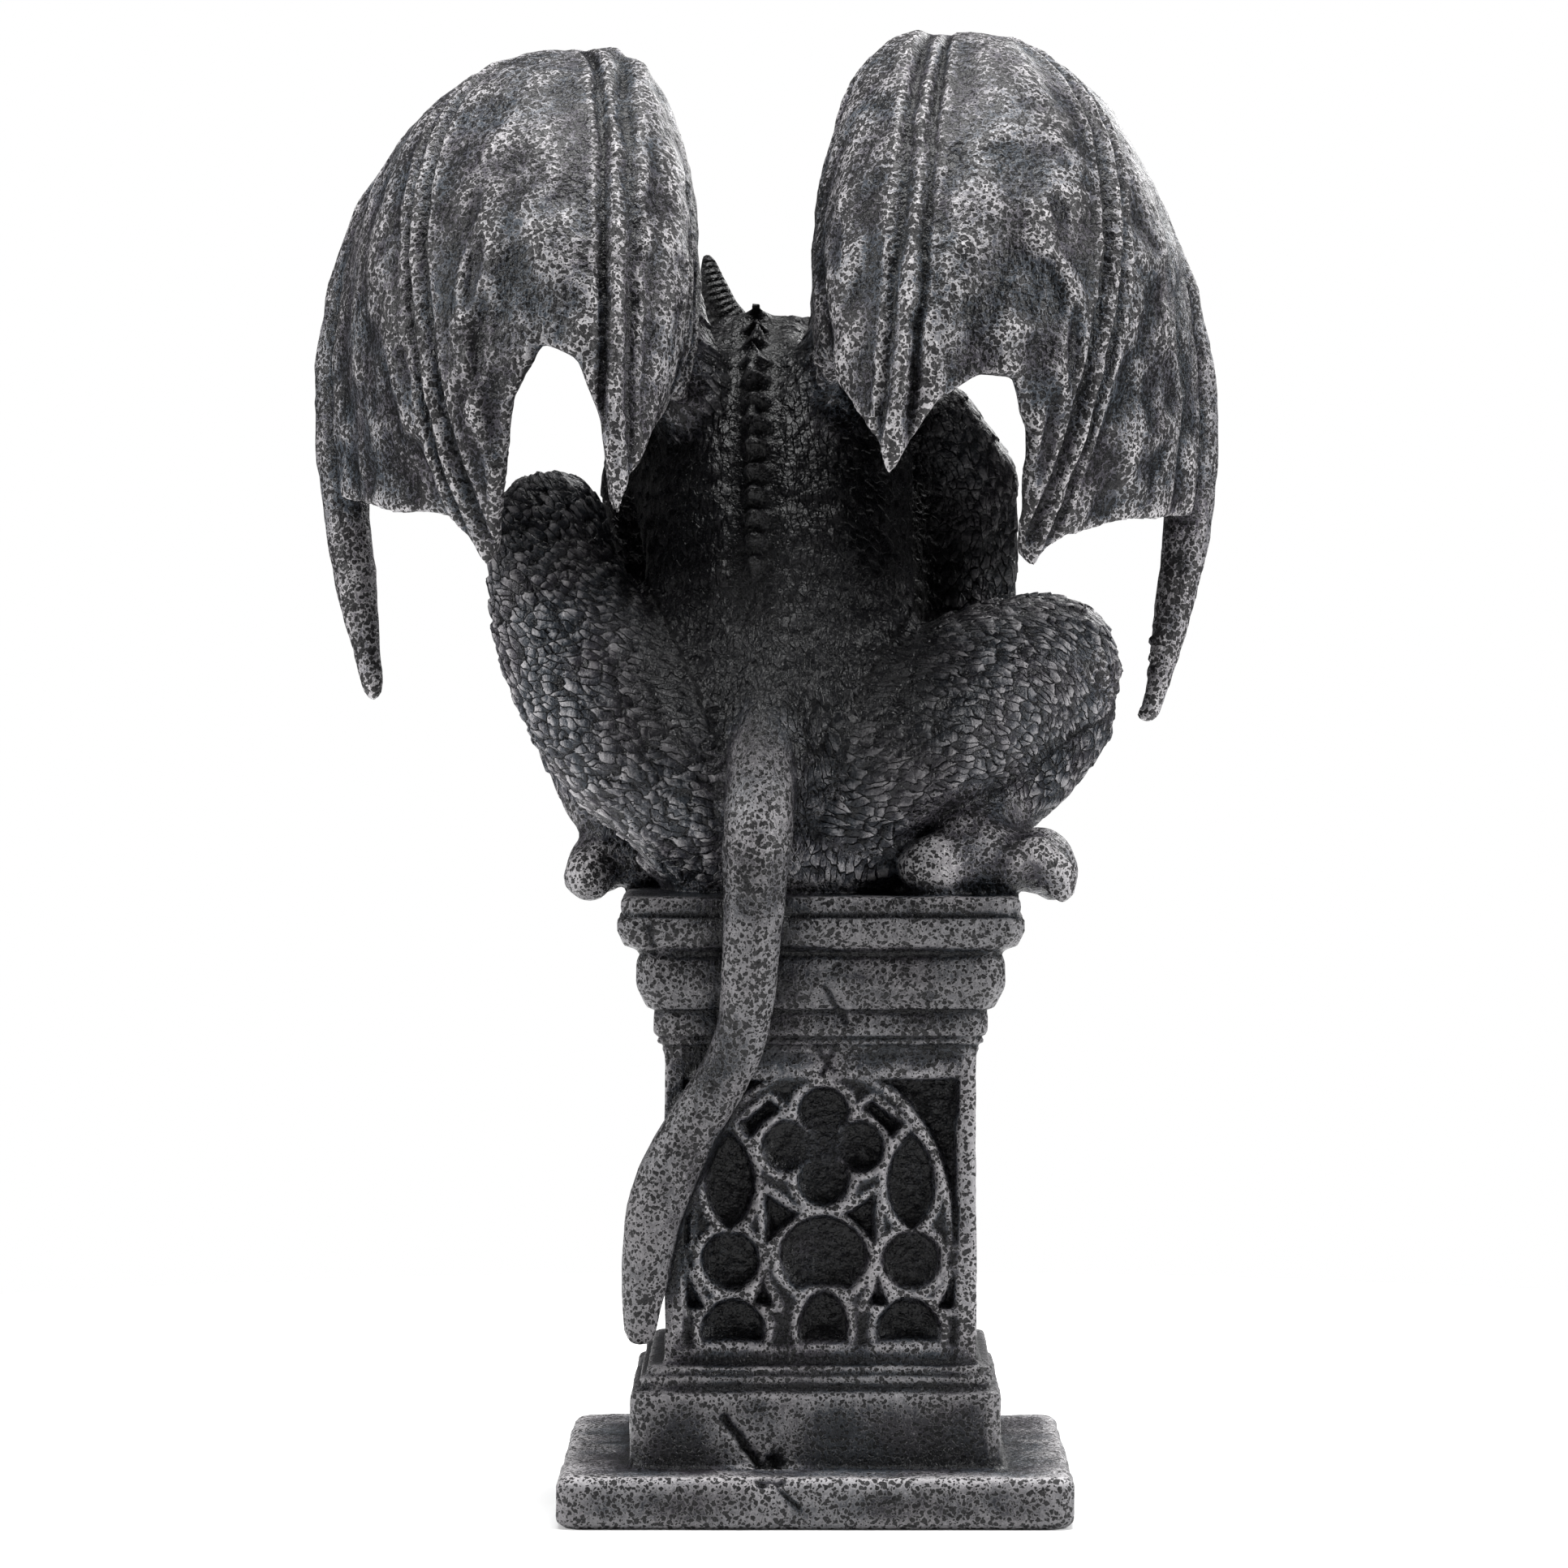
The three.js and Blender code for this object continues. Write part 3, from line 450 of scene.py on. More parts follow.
def noise(places, size, seed):
    """Soft noise from -1 to 1, with a swell about every size millimetres."""
    grid = places / size + seed * 7.31
    cell = np.floor(grid).astype(np.int64)
    share = grid - cell
    share = share * share * (3 - 2 * share)
    total = np.zeros(len(places))
    for corner in itertools.product((0, 1), repeat=3):
        a, b, c = (cell + corner).T
        mixed = scrambled((a * 73856093) ^ (b * 19349663) ^ (c * 83492791) ^ (seed * 2654435761))
        weight = np.prod(np.where(np.array(corner), share, 1 - share), axis=1)
        total += weight * (((mixed ^ (mixed >> 16)) & 0xFFFF) / 32767.5 - 1)
    return total


def bump(value, middle, half):
    """A soft hill at middle, down to a third at half to either side."""
    return np.exp(-(((value - middle) / half) ** 2))


def wing_relief(places, u, v, width):
    """How far the ribs and folds of the wing's skin stand out."""
    wobble = 0.5 * noise(places, 14, 1) + 0.25 * noise(places, 6, 2)
    height = np.zeros(len(u))
    ribs = np.zeros(len(u))
    for line, strength in ((1, 0.5), (2, 1.0), (3, 1.0)):
        off = (u - line) * width + wobble * 0.8
        fade = step(0.02, 0.2, v) * strength * (1 + 0.35 * noise(places, 9, 5))
        cord = 1.5 * bump(off, 0, 1.5) - 1.2 * bump(np.abs(off), 2.8, 0.9)
        height += fade * (cord + 0.5 * bump(np.abs(off), 4.4, 1.0))
        ribs = np.maximum(ribs, bump(off, 0, 5) * strength)
    s = u % 1
    across = np.abs(2 * s - 1)
    folds = np.sin(2 * np.pi * (1.3 * v - 1.25 * across**1.2 + 0.7 * wobble + 0.4 * np.floor(u)))
    slack = (0.35 + 0.65 * step(0.4, 0.8, v)) * step(0.1, 0.35, v) * step(0.02, 0.12, 1 - v)
    height += folds * (1 - ribs) * slack
    height += 0.28 * noise(places * (1, 1, 0.5), 6, 3) + 0.24 * noise(places * (1, 1, 0.7), 3, 4)
    return height


wing_weight = np.zeros(len(places))
normals = normals_of(statue)
for wing in WINGS.values():
    bones = {
        line: curve_through(np.hstack([
            web_middle(wing, np.full(24, float(line)), np.linspace(0, 1, 24)),
            np.interp(np.linspace(0, 1, 24), np.linspace(0, 1, len(radii)), radii)[:, None],
        ]), 60)
        for line, radii in BONE_RADII.items()
    }
    index = np.flatnonzero(side_of(wing, places) & (places[:, 1] < 30))
    spots = places[index]
    u, v = on_web(wing, spots)
    centre, normal, width = web_frame(wing, u, v)
    off = ((spots - centre) * normal).sum(1)
    side = np.sign(off)
    miss = np.linalg.norm(spots - centre, axis=1)
    facing = (normals[index] * normal).sum(1) * side
    clear = np.ones(len(index))
    for line in bones.values():
        gap = np.linalg.norm(spots[:, None] - line[None, :, :3], axis=2) - line[None, :, 3]
        clear *= step(0.4, 2.6, gap.min(1))
    rib = np.maximum(bump(u, 2, 0.12), bump(u, 3, 0.12)) * 1.8
    weight = clear * (1 - step(2.6, 3.8, miss - rib)) * step(0.35, 0.75, facing)
    flat = step(0.8, 1.35, np.abs(off))
    relief = wing_relief(spots, u, v, width)
    relief = np.where(side > 0, relief, 0.55 * relief)
    wanted = side * (WING_HALF + relief)
    moved = (off + (wanted - off) * flat * weight)[:, None] * normal + (spots - normal * off[:, None])
    places[index] = np.where((weight > 0)[:, None], moved, spots)
    wing_weight[index] = np.maximum(wing_weight[index], weight)
places = eased(places, edges, np.where(wing_weight > 0.02, 2, 0))
place(statue, places)


# The windows of the shaft.
# Each face has the same blind window: a sunk panel, a great arch, a quatrefoil over an oval, and lights
# below. It is carved with soft walls and rounded bars, as worn stone tracery would be.
PANEL = {"half": 26.8, "foot": 33.3, "high": 52.42, "sunk": 0.9, "carved": 2.7, "bar": 0.7}


def ellipse(x, y, cx, cy, a, b):
    """About how far outside an ellipse a point lies, in millimetres."""
    return (np.hypot((x - cx) / a, (y - cy) / b) - 1) * min(a, b)


def polygon(x, y, corners):
    """How far outside a convex polygon a point lies, its corners given anticlockwise."""
    worst = np.full(len(x), -1e9)
    for (x0, y0), (x1, y1) in zip(corners, corners[1:] + corners[:1]):
        length = math.hypot(x1 - x0, y1 - y0)
        worst = np.maximum(worst, ((x - x0) * (y1 - y0) - (y - y0) * (x1 - x0)) / length)
    return worst


def tracery(x, y):
    """How far outside the window's openings a point of the panel lies."""
    w, h = 2 * PANEL["half"], PANEL["high"]
    cx, cy = 0.01 * w, 0.745 * h
    lobes = [ellipse(x, y, cx + dx * 0.128 * w, cy + dy * 0.122 * w, 0.087 * w, 0.087 * w)
             for dx, dy in ((1, 0), (-1, 0), (0, 1), (0, -1))]
    shapes = lobes + [ellipse(x, y, cx, cy, 0.075 * w, 0.075 * w)]
    shapes.append(np.maximum(ellipse(x, y, 0.01 * w, 0.335 * h, 0.152 * w, 0.14 * h), 0.225 * h - y))
    shapes.append(np.maximum(ellipse(x, y, 0.01 * w, 0.07 * h, 0.078 * w, 0.125 * h), 0.03 * h - y))
    arch = ellipse(x, y, 0, 0.394 * h, 0.5 * w, 0.68 * h)
    almond_wide, almond_high = 0.08 * w, 0.175 * h
    reach = (almond_wide**2 + almond_high**2) / (2 * almond_wide)
    inset = reach - almond_wide
    for side in (-1, 1):
        sx = side * x
        shapes.append(np.maximum(
            np.hypot(sx - 0.33 * w - inset, y - 0.61 * h) - reach,
            np.hypot(sx - 0.33 * w + inset, y - 0.61 * h) - reach,
        ))
        shapes.append(ellipse(sx, y, 0.33 * w, 0.32 * h, 0.098 * w, 0.1 * h))
        shapes.append(np.maximum(ellipse(sx, y, 0.32 * w, 0.06 * h, 0.105 * w, 0.105 * h), 0.03 * h - y))
        for corners in (
            [(0.188, 0.41), (0.188, 0.545), (0.095, 0.487)],
            [(0.255, 0.8), (0.28, 0.83), (0.19, 0.9), (0.17, 0.885)],
            [(0.19, 0.165), (0.23, 0.165), (0.21, 0.215)],
            [(0.44, 0.15), (0.475, 0.15), (0.475, 0.215)],
        ):
            shapes.append(polygon(sx, y, [(px * w, py * h) for px, py in corners]))
        shapes.append(np.maximum.reduce([-arch, sx - w / 2, y - h, 0.394 * h - y]))
    return np.minimum.reduce(shapes)


def window_depth(x, y):
    """How deep the window is cut, by the way from the face's middle line and from the panel's foot."""
    edge = np.maximum.reduce([np.abs(x) - PANEL["half"], -y, y - PANEL["high"]])
    outside = tracery(x, y) - 0.4
    depth = PANEL["sunk"] * step(0.3, -0.7, edge)
    depth += PANEL["carved"] * step(0.55, -0.75, outside) * step(0.2, -0.8, edge)
    depth -= PANEL["bar"] * bump(outside, 1.2, 0.8) * step(0.2, -0.8, edge)
    return depth


normals = normals_of(statue)
for quarter in range(4):
    turn = quarter * math.pi / 2
    along = np.array([math.cos(turn), math.sin(turn), 0])
    inward = np.array([-math.sin(turn), math.cos(turn), 0])
    middle = np.array([SHAFT["shift"], 0, 0])
    x = (places - middle) @ along
    sunk = (places - middle) @ inward + SHAFT["half"]
    face = (np.abs(sunk) < 0.35) & (np.abs(x) < SHAFT["half"] - 0.3)
    face &= (places[:, 2] > SHAFT["foot"]) & (places[:, 2] < SHAFT["head"]) & (normals @ inward < -0.6)
    depth = window_depth(x[face], places[face, 2] - PANEL["foot"])
    places[face] += depth[:, None] * inward
place(statue, places)


# The worn stone look of the casting.
# The model for the mould was carved to look like weathered stone, so no plane is quite flat: shallow dents
# all over, fillets scored round the mouldings, and a few cracks and chips in the plinth.
FILLETS = [
    # grooves round the plinth: height, half-width, depth
    (118.0, 0.55, 0.9),
    (98.8, 0.5, 0.8),
    (93.6, 0.45, 0.7),
    (91.9, 0.45, 0.6),
    (28.4, 0.45, 0.5),
]
CRACKS = [
    # lines on the plinth's rear faces: x and height, then width and depth
    ([(-17.5, 19.6), (-13.7, 15.1), (-11.0, 10.9), (-10.0, 9.0)], 0.9, 1.6),
    ([(-10.0, 11.0), (-5.0, 6.2), (-3.4, 4.0)], 0.5, 0.7),
    ([(-8.2, 11.8), (-6.8, 10.4)], 1.3, 1.8),
    ([(-32.0, 115.8), (-31.4, 110.4)], 0.5, 0.8),
    ([(1.5, 104.0), (4.0, 100.2), (6.0, 97.0)], 0.45, 0.6),
    ([(0.0, 91.8), (3.4, 87.2)], 0.45, 0.6),
    ([(4.0, 92.2), (1.0, 86.4)], 0.45, 0.6),
]


def from_line(x, z, corners):
    """Distance from a line of points on the face."""
    best = np.full(len(x), 1e9)
    for (x0, z0), (x1, z1) in zip(corners, corners[1:]):
        dx, dz = x1 - x0, z1 - z0
        share = np.clip(((x - x0) * dx + (z - z0) * dz) / (dx * dx + dz * dz), 0, 1)
        best = np.minimum(best, np.hypot(x - x0 - share * dx, z - z0 - share * dz))
    return best


normals = normals_of(statue)
low = places[:, 2] < PLINTH_TOP + 1
dents = 0.3 * noise(places, 11, 11) + 0.16 * noise(places, 4.2, 12) + 0.12 * noise(places, 2.2, 13)
dents = np.where(low, 0.55 * dents, dents)
tail_share = beside(TAIL_LINE, places)[0]
upright = step(0.5, 0.8, np.hypot(normals[:, 0], normals[:, 1])) * low * step(1.1, ON_TAIL, tail_share)
for height, half, deep in FILLETS:
    dents -= deep * bump(places[:, 2], height, half) * upright
rear = (normals[:, 1] < -0.5) & low & (places[:, 1] < -29) & (tail_share > 1.2)
wander = 0.5 * noise(places, 2.5, 14)
for corners, wide, deep in CRACKS:
    gap = from_line(places[:, 0] + wander, places[:, 2] + wander, corners)
    dents -= np.where(rear, deep * bump(gap, 0, wide), 0)
dents *= step(0.0, 1.5, places[:, 2])
places = places + normals * dents[:, None]


# The beast's coat.
# Short thick tufts cover the haunches, knees, legs and trunk, each modelled as a flake that lifts at its
# tip. They follow the limb they grow on, and lie finer and steeper on the back.
COAT = {
    # the limb, how far the tufts turn from it in degrees, their length and width in mm, their height in mm
    "trunk": (180, 5.0, 2.2, 0.4),
    "left_haunch": (318, 6.0, 2.3, 0.75),
    "right_haunch": (46, 6.0, 2.3, 0.75),
    "left_shin": (0, 5.0, 2.4, 0.5),
    "right_shin": (0, 5.0, 2.4, 0.5),
    "left_foreleg": (0, 5.0, 2.4, 0.5),
    "right_foreleg": (0, 5.0, 2.4, 0.5),
}


def flakes(s, t, seed):
    """Height from 0 to 1 of overlapping flakes, one long and one wide, that lift towards greater s."""
    cell_s, cell_t = np.floor(s), np.floor(t)
    best = np.full(len(s), 1e9)
    height = np.zeros(len(s))
    for i, j in itertools.product((-1, 0, 1), repeat=2):
        a, b = (cell_s + i).astype(np.int64), (cell_t + j).astype(np.int64)
        mixed = scrambled((a * 73856093) ^ (b * 19349663) ^ seed)
        ds = s - (cell_s + i + 0.15 + 0.7 * (mixed & 0xFFFF) / 65535)
        dt = t - (cell_t + j + 0.15 + 0.7 * ((mixed >> 16) & 0xFFFF) / 65535)
        reach = 0.8 * ds**2 + dt**2
        nearer = reach < best
        best = np.where(nearer, reach, best)
        height = np.where(nearer, np.clip(0.55 + ds, 0, 1.1) * np.clip(1 - 2 * dt**2, 0, 1), height)
    return height


def coat_of(places):
    """The coat at each point: its place along and across the tufts, their height, and their strength."""
    beside_all = [beside(LIMB_LINES[name], places) for name in COAT]
    reach = np.stack([b[0] for b in beside_all])
    which = reach.argmin(0)
    nearest = reach.min(0)
    second = np.partition(reach, 1, axis=0)[1]
    s, t, tall = (np.zeros(len(places)) for _ in range(3))
    for i, (turn, long, wide, height) in enumerate(COAT.values()):
        mine = which == i
        turn = math.radians(turn)
        along, round_it = beside_all[i][1][mine], beside_all[i][2][mine]
        s[mine] = (along * math.cos(turn) + round_it * math.sin(turn)) / long
        t[mine] = (round_it * math.cos(turn) - along * math.sin(turn)) / wide
        tall[mine] = height
    strength = (1 - step(1.22, 1.42, nearest)) * step(0.0, 0.05, second - nearest)
    strength *= step(PLINTH_TOP + 1, PLINTH_TOP + 4, places[:, 2])
    feet = np.minimum(
        np.linalg.norm(places - (-38, 2, PLINTH_TOP + 4), axis=1),
        np.linalg.norm(places - (33, -27, PLINTH_TOP + 4), axis=1),
    )
    strength *= step(15, 22, feet)
    off_plates = step(3.5, 6.5, np.abs(places[:, 0] - PLATE_X)) + (places[:, 2] < PLINTH_TOP + 52)
    strength *= np.clip(off_plates, 0, 1)
    tail_root = np.hypot((places[:, 0] + 10.8) / 9, (places[:, 2] - PLINTH_TOP - 10) / 32)
    strength *= 1 - 0.85 * (1 - step(0.7, 1.1, tail_root)) * (places[:, 1] < -24)
    return s, t, tall, strength


s, t, tall, strength = coat_of(places)
strength *= 1 - step(0.05, 0.5, wing_weight)
drift = 0.35 * noise(places, 7, 21)
place(statue, places)
places = places + normals_of(statue) * (tall * strength * (flakes(s + drift, t + drift, 5) - 0.45))[:, None]
place(statue, places)


# The finish of the mesh.
# The fused skin is thinned to what a shelf part can carry, which keeps its points where the carving is.
MOST_TRIANGLES = 196000

bpy.ops.object.select_all(action="DESELECT")
finish_modifier(statue, "TRIANGULATE")
finish_modifier(statue, "DECIMATE", ratio=MOST_TRIANGLES / len(statue.data.polygons))

# Crumbs that the fusing left inside the body go, and the one skin round its highest point stays
highest = max(range(len(statue.data.vertices)), key=lambda number: statue.data.vertices[number].co.z)
only(statue)
bpy.ops.object.mode_set(mode="EDIT")
bpy.ops.mesh.select_all(action="DESELECT")
bpy.ops.object.mode_set(mode="OBJECT")
statue.data.vertices[highest].select = True
bpy.ops.object.mode_set(mode="EDIT")
bpy.ops.mesh.select_mode(type="VERT")
bpy.ops.mesh.select_linked()
bpy.ops.mesh.select_all(action="INVERT")
bpy.ops.mesh.delete(type="VERT")
bpy.ops.mesh.select_all(action="SELECT")
bpy.ops.mesh.dissolve_degenerate(threshold=0.001 * MM)
bpy.ops.mesh.quads_convert_to_tris()
bpy.ops.object.mode_set(mode="OBJECT")
statue.data.validate()
bpy.ops.object.shade_smooth()


# The paint.
# Cold-cast resin, dyed charcoal, pitted all over like lava stone, and dry-brushed with slate and lavender
# grey so that every raised edge is pale and every pit stays dark. Painted shade darkens the pits, the body
# and the hollows under the wings, and painted glints and a painted highlight on the slab's top add light.
# It has the low sheen of a wax finish.
SLAB_TOP = 10.6


def linear(hex_colour):
    """An sRGB hex colour as linear red, green, blue and alpha."""
    channels = [int(hex_colour[i:i + 2], 16) / 255 for i in (1, 3, 5)]
    return (*[c / 12.92 if c <= 0.04045 else ((c + 0.055) / 1.055) ** 2.4 for c in channels], 1)


def attribute(piece, name, kind, values):
    """Stores a number or three at each point, for the paint to read."""
    made = piece.data.attributes.new(name, kind, "POINT")
    field = "vector" if kind == "FLOAT_VECTOR" else "value"
    made.data.foreach_set(field, np.asarray(values, np.float32).ravel())


places = places_of(statue)
edges = edges_of(statue)
normals = normals_of(statue)
high = places[:, 2] - PLINTH_TOP
on_plinth = high < 0
on_slab_top = (places[:, 2] < SLAB_TOP) & (normals[:, 2] > 0.7)

# How far each point stands up from those round it, near by and further off
fine = ((places - eased(places, edges, 4)) * normals).sum(1)
broad = ((places - eased(places, edges, 30)) * normals).sum(1)
raised_and_top_highlight = 0.5 + np.where(on_plinth, 3.0, 1.5) * fine + np.where(on_plinth, 0.12, 0.06) * broad
# The slab's top face is painted paler, a painted highlight where the lamp above falls on it
raised_and_top_highlight = np.clip(raised_and_top_highlight, 0, 1.1) + 0.15 * on_slab_top
attribute(statue, "raised_and_top_highlight", "FLOAT", eased_shares(raised_and_top_highlight, edges, 1))

# Where the coat grows, but not on the wings
off_wings = np.ones(len(places))
for wing in WINGS.values():
    index = np.flatnonzero(side_of(wing, places))
    u, v = on_web(wing, places[index])
    centre, normal, width = web_frame(wing, u, v)
    miss = np.linalg.norm(places[index] - centre, axis=1)
    off_wings[index] = step(3.5, 5.5, miss)
s, t, tall, strength = coat_of(places)
strength *= off_wings
attribute(statue, "coat", "FLOAT_VECTOR", np.stack([s, t, strength], 1))

# How thickly the surface is pitted: most on the wings, less on the plinth and tail, least under the coat
pitted = np.where(on_plinth, 0.92, 1.0)
pitted = np.maximum(pitted, 1.12 * (1 - off_wings))
pitted *= 1 - 0.6 * strength
attribute(statue, "pitted", "FLOAT", pitted)

# How well the brush reaches, with painted shade in it: darkest in the hollow between the wings and on the
# body under the wings down to the knees, where the wings' shade falls
shade_between_wings = step(4, 40, high) * step(46, 24, np.abs(places[:, 0] + 6)) * off_wings
shade_under_wings = step(45, 70, high) * off_wings
brush_reach_and_painted_light = 1 - 0.96 * shade_between_wings - 0.45 * shade_under_wings * (1 - shade_between_wings)
# The whole body is painted darker than the wings, painted shade on the back between them
brush_reach_and_painted_light *= 1 - 0.25 * off_wings
on_shaft = (places[:, 2] > SHAFT["foot"]) & (places[:, 2] < SHAFT["head"])
brush_reach_and_painted_light = np.where(on_plinth, np.where(on_shaft, 0.52, 0.3), brush_reach_and_painted_light)
# The tail is painted darker, painted shade where a side lamp lights it
brush_reach_and_painted_light = np.where(beside(TAIL_LINE, places)[0] < ON_TAIL, 0.3, brush_reach_and_painted_light)
# The slab's top is fully brushed, the same painted highlight from the lamp above
brush_reach_and_painted_light = np.where(on_slab_top, 1, brush_reach_and_painted_light)
# The right haunch's coat is painted darker, painted shade on that side
brush_reach_and_painted_light *= 1 - 0.35 * strength * step(-5, 10, places[:, 0])
attribute(statue, "brush_reach_and_painted_light", "FLOAT", eased_shares(brush_reach_and_painted_light, edges, 6))

# The horns' rings, by the way along them
HORN = [
    # x, y and height from the head's middle, and thickness
    (9.5, 0, 8, 5.2), (15.5, -3, 14, 4.7), (19.5, -5, 20, 4), (21.6, -5, 26.5, 2.9), (22.8, -4, 31.5, 1.6),
]
HEAD = {"x": 1, "y": 34, "z": 96, "turn": math.radians(-10)}
RING_GAP = 1.35
ring = np.zeros(len(places))
on_horn = np.zeros(len(places))
for side in (-1, 1):
    line = [(
        HEAD["x"] + side * x * math.cos(HEAD["turn"]) - y * math.sin(HEAD["turn"]),
        HEAD["y"] + side * x * math.sin(HEAD["turn"]) + y * math.cos(HEAD["turn"]),
        HEAD["z"] + z,
        thick,
    ) for x, y, z, thick in HORN]
    reach, along, _ = beside(curve_through(line, 40), places)
    mine = (reach < 1.35) & (along > 5)
    ring[mine] = along[mine]
    on_horn[mine] = 1
attribute(statue, "horn", "FLOAT_VECTOR", np.stack([ring, on_horn, np.zeros(len(places))], 1))


def add(tree, kind, inputs=(), give=0, **settings):
    """Adds a node with its settings, links or sets its inputs by order or by name, and gives one output."""
    made = tree.nodes.new(kind)
    for name, value in settings.items():
        setattr(made, name, value)
    for key, value in inputs.items() if isinstance(inputs, dict) else enumerate(inputs):
        if isinstance(value, bpy.types.NodeSocket):
            tree.links.new(value, made.inputs[key])
        else:
            made.inputs[key].default_value = value
    return made.outputs[give] if made.outputs else None


paint = bpy.data.materials.new("charcoal_resin_dry_brushed")
paint.use_nodes = True
resin = paint.node_tree
resin.nodes.clear()
where = add(resin, "ShaderNodeTexCoord", give="Object")
in_mm = add(resin, "ShaderNodeVectorMath", {0: where, 3: 1000.0}, operation="SCALE")
sway = add(resin, "ShaderNodeTexNoise", {"Vector": in_mm, "Scale": 1.1, "Detail": 1.0}, give="Color")
swayed = add(resin, "ShaderNodeVectorMath", (sway, (0.9, 0.9, 0.9), in_mm), operation="MULTIPLY_ADD")
drifts = add(resin, "ShaderNodeTexNoise", {"Vector": in_mm, "Scale": 0.12, "Detail": 2.0})
grain = add(resin, "ShaderNodeTexNoise", {"Vector": in_mm, "Scale": 1.9, "Detail": 3.0, "Roughness": 0.6})
lumps = add(resin, "ShaderNodeTexNoise", {"Vector": in_mm, "Scale": 0.55, "Detail": 2.0})
drawn_out = add(resin, "ShaderNodeVectorMath", (in_mm, (1.0, 1.0, 0.22)), operation="MULTIPLY")
streaks = add(resin, "ShaderNodeTexNoise", {"Vector": drawn_out, "Scale": 1.0, "Detail": 3.0})

# Pits about 1 mm wide and 1.2 mm apart, and finer ones between them, which crowd together in drifts
pitted = add(resin, "ShaderNodeAttribute", attribute_name="pitted", give="Fac")
crowd = add(resin, "ShaderNodeMath", (drifts, 0.8, 0.57), operation="MULTIPLY_ADD")
crowd = add(resin, "ShaderNodeMath", (crowd, pitted), operation="MULTIPLY")
holes = []
rims = []
for per_mm, widest in ((0.86, 0.49), (1.55, 0.42)):
    cell = add(resin, "ShaderNodeTexVoronoi", {"Vector": swayed, "Scale": per_mm})
    mouth = add(resin, "ShaderNodeMath", (crowd, widest), operation="MULTIPLY")
    pit_floor = add(resin, "ShaderNodeMath", (mouth, 0.08), operation="SUBTRACT")
    lip = add(resin, "ShaderNodeMath", (mouth, 0.2), operation="ADD")
    holes.append(add(resin, "ShaderNodeMapRange", (cell, mouth, pit_floor, 0.0, 1.0)))
    rims.append(add(resin, "ShaderNodeMapRange", (cell, lip, mouth, 0.0, 1.0)))
pit = add(resin, "ShaderNodeMath", holes, operation="MAXIMUM")
rim = add(resin, "ShaderNodeMath", rims, operation="MAXIMUM")

# Tufts of the coat along their own two coordinates: one cell is a flake 3.5 mm long
coat = add(resin, "ShaderNodeAttribute", attribute_name="coat", give="Vector")
on_coat = add(resin, "ShaderNodeSeparateXYZ", (coat,), give=2)
flat_coat = add(resin, "ShaderNodeVectorMath", (coat, (1.0, 1.0, 0.0)), operation="MULTIPLY")
bends = add(resin, "ShaderNodeTexNoise", {"Vector": in_mm, "Scale": 0.16, "Detail": 3.0}, give="Color")
coat_bent = add(resin, "ShaderNodeVectorMath", (bends, (1.2, 1.6, 0.0), flat_coat),
                operation="MULTIPLY_ADD")
cell_middle = add(resin, "ShaderNodeTexVoronoi", {"Vector": coat_bent, "Scale": 1.5, "Randomness": 0.95},
                  give="Position", voronoi_dimensions="2D")
to_border = add(resin, "ShaderNodeTexVoronoi", {"Vector": coat_bent, "Scale": 1.5, "Randomness": 0.95},
                voronoi_dimensions="2D", feature="DISTANCE_TO_EDGE")
from_middle = add(resin, "ShaderNodeVectorMath", (coat_bent, cell_middle), operation="SUBTRACT")
along_tuft = add(resin, "ShaderNodeSeparateXYZ", (from_middle,))
lift = add(resin, "ShaderNodeMath", (along_tuft, 1.7, 0.5), operation="MULTIPLY_ADD", use_clamp=True)
flank = add(resin, "ShaderNodeMapRange", (to_border, 0.0, 0.09, 0.0, 1.0))
tuft = add(resin, "ShaderNodeMath", (lift, flank), operation="MULTIPLY")
tuft = add(resin, "ShaderNodeMath", (tuft, on_coat), operation="MULTIPLY")
gap = add(resin, "ShaderNodeMapRange", (to_border, 0.07, 0.01, 0.0, 1.0))
gap = add(resin, "ShaderNodeMath", (gap, on_coat), operation="MULTIPLY")

# Rings round the horns
horn = add(resin, "ShaderNodeAttribute", attribute_name="horn", give="Vector")
along_horn = add(resin, "ShaderNodeSeparateXYZ", (horn,))
on_horn_here = add(resin, "ShaderNodeSeparateXYZ", (horn,), give=1)
turns = add(resin, "ShaderNodeMath", (along_horn, 2 * math.pi / RING_GAP), operation="MULTIPLY")
rings = add(resin, "ShaderNodeMath", (turns,), operation="SINE")
rings = add(resin, "ShaderNodeMath", (rings, on_horn_here), operation="MULTIPLY")

height = add(resin, "ShaderNodeMath", (pit, -0.0005), operation="MULTIPLY")
for part, deep in ((grain, 0.0002), (lumps, 0.0007), (streaks, 0.0004), (tuft, 0.0009), (rings, 0.0002)):
    height = add(resin, "ShaderNodeMath", (part, deep, height), operation="MULTIPLY_ADD")
relief = add(resin, "ShaderNodeBump", {"Strength": 1.0, "Distance": 1.0, "Height": height})

# The dry brush catches what stands up, and the lips of the pits, and leaves what lies low. Where it catches
# most, the palest grey is partly the brush's own and partly a painted glint
brushed = add(resin, "ShaderNodeAttribute", attribute_name="raised_and_top_highlight", give="Fac")
for part, share in (
    (lumps, 0.2), (streaks, 0.42), (grain, 0.38), (rim, 0.25), (tuft, 0.6), (on_coat, -0.2), (gap, -0.6)
):
    brushed = add(resin, "ShaderNodeMath", (part, share, brushed), operation="MULTIPLY_ADD")
tint = add(resin, "ShaderNodeTexNoise", {"Vector": in_mm, "Scale": 0.07, "Detail": 3.0})
tint = add(resin, "ShaderNodeMapRange", (tint, 0.4, 0.6, 0.0, 1.0))
slate = add(resin, "ShaderNodeMix", {0: tint, 6: linear("#4e4b52"), 7: linear("#464c54")}, give=2,
            data_type="RGBA")
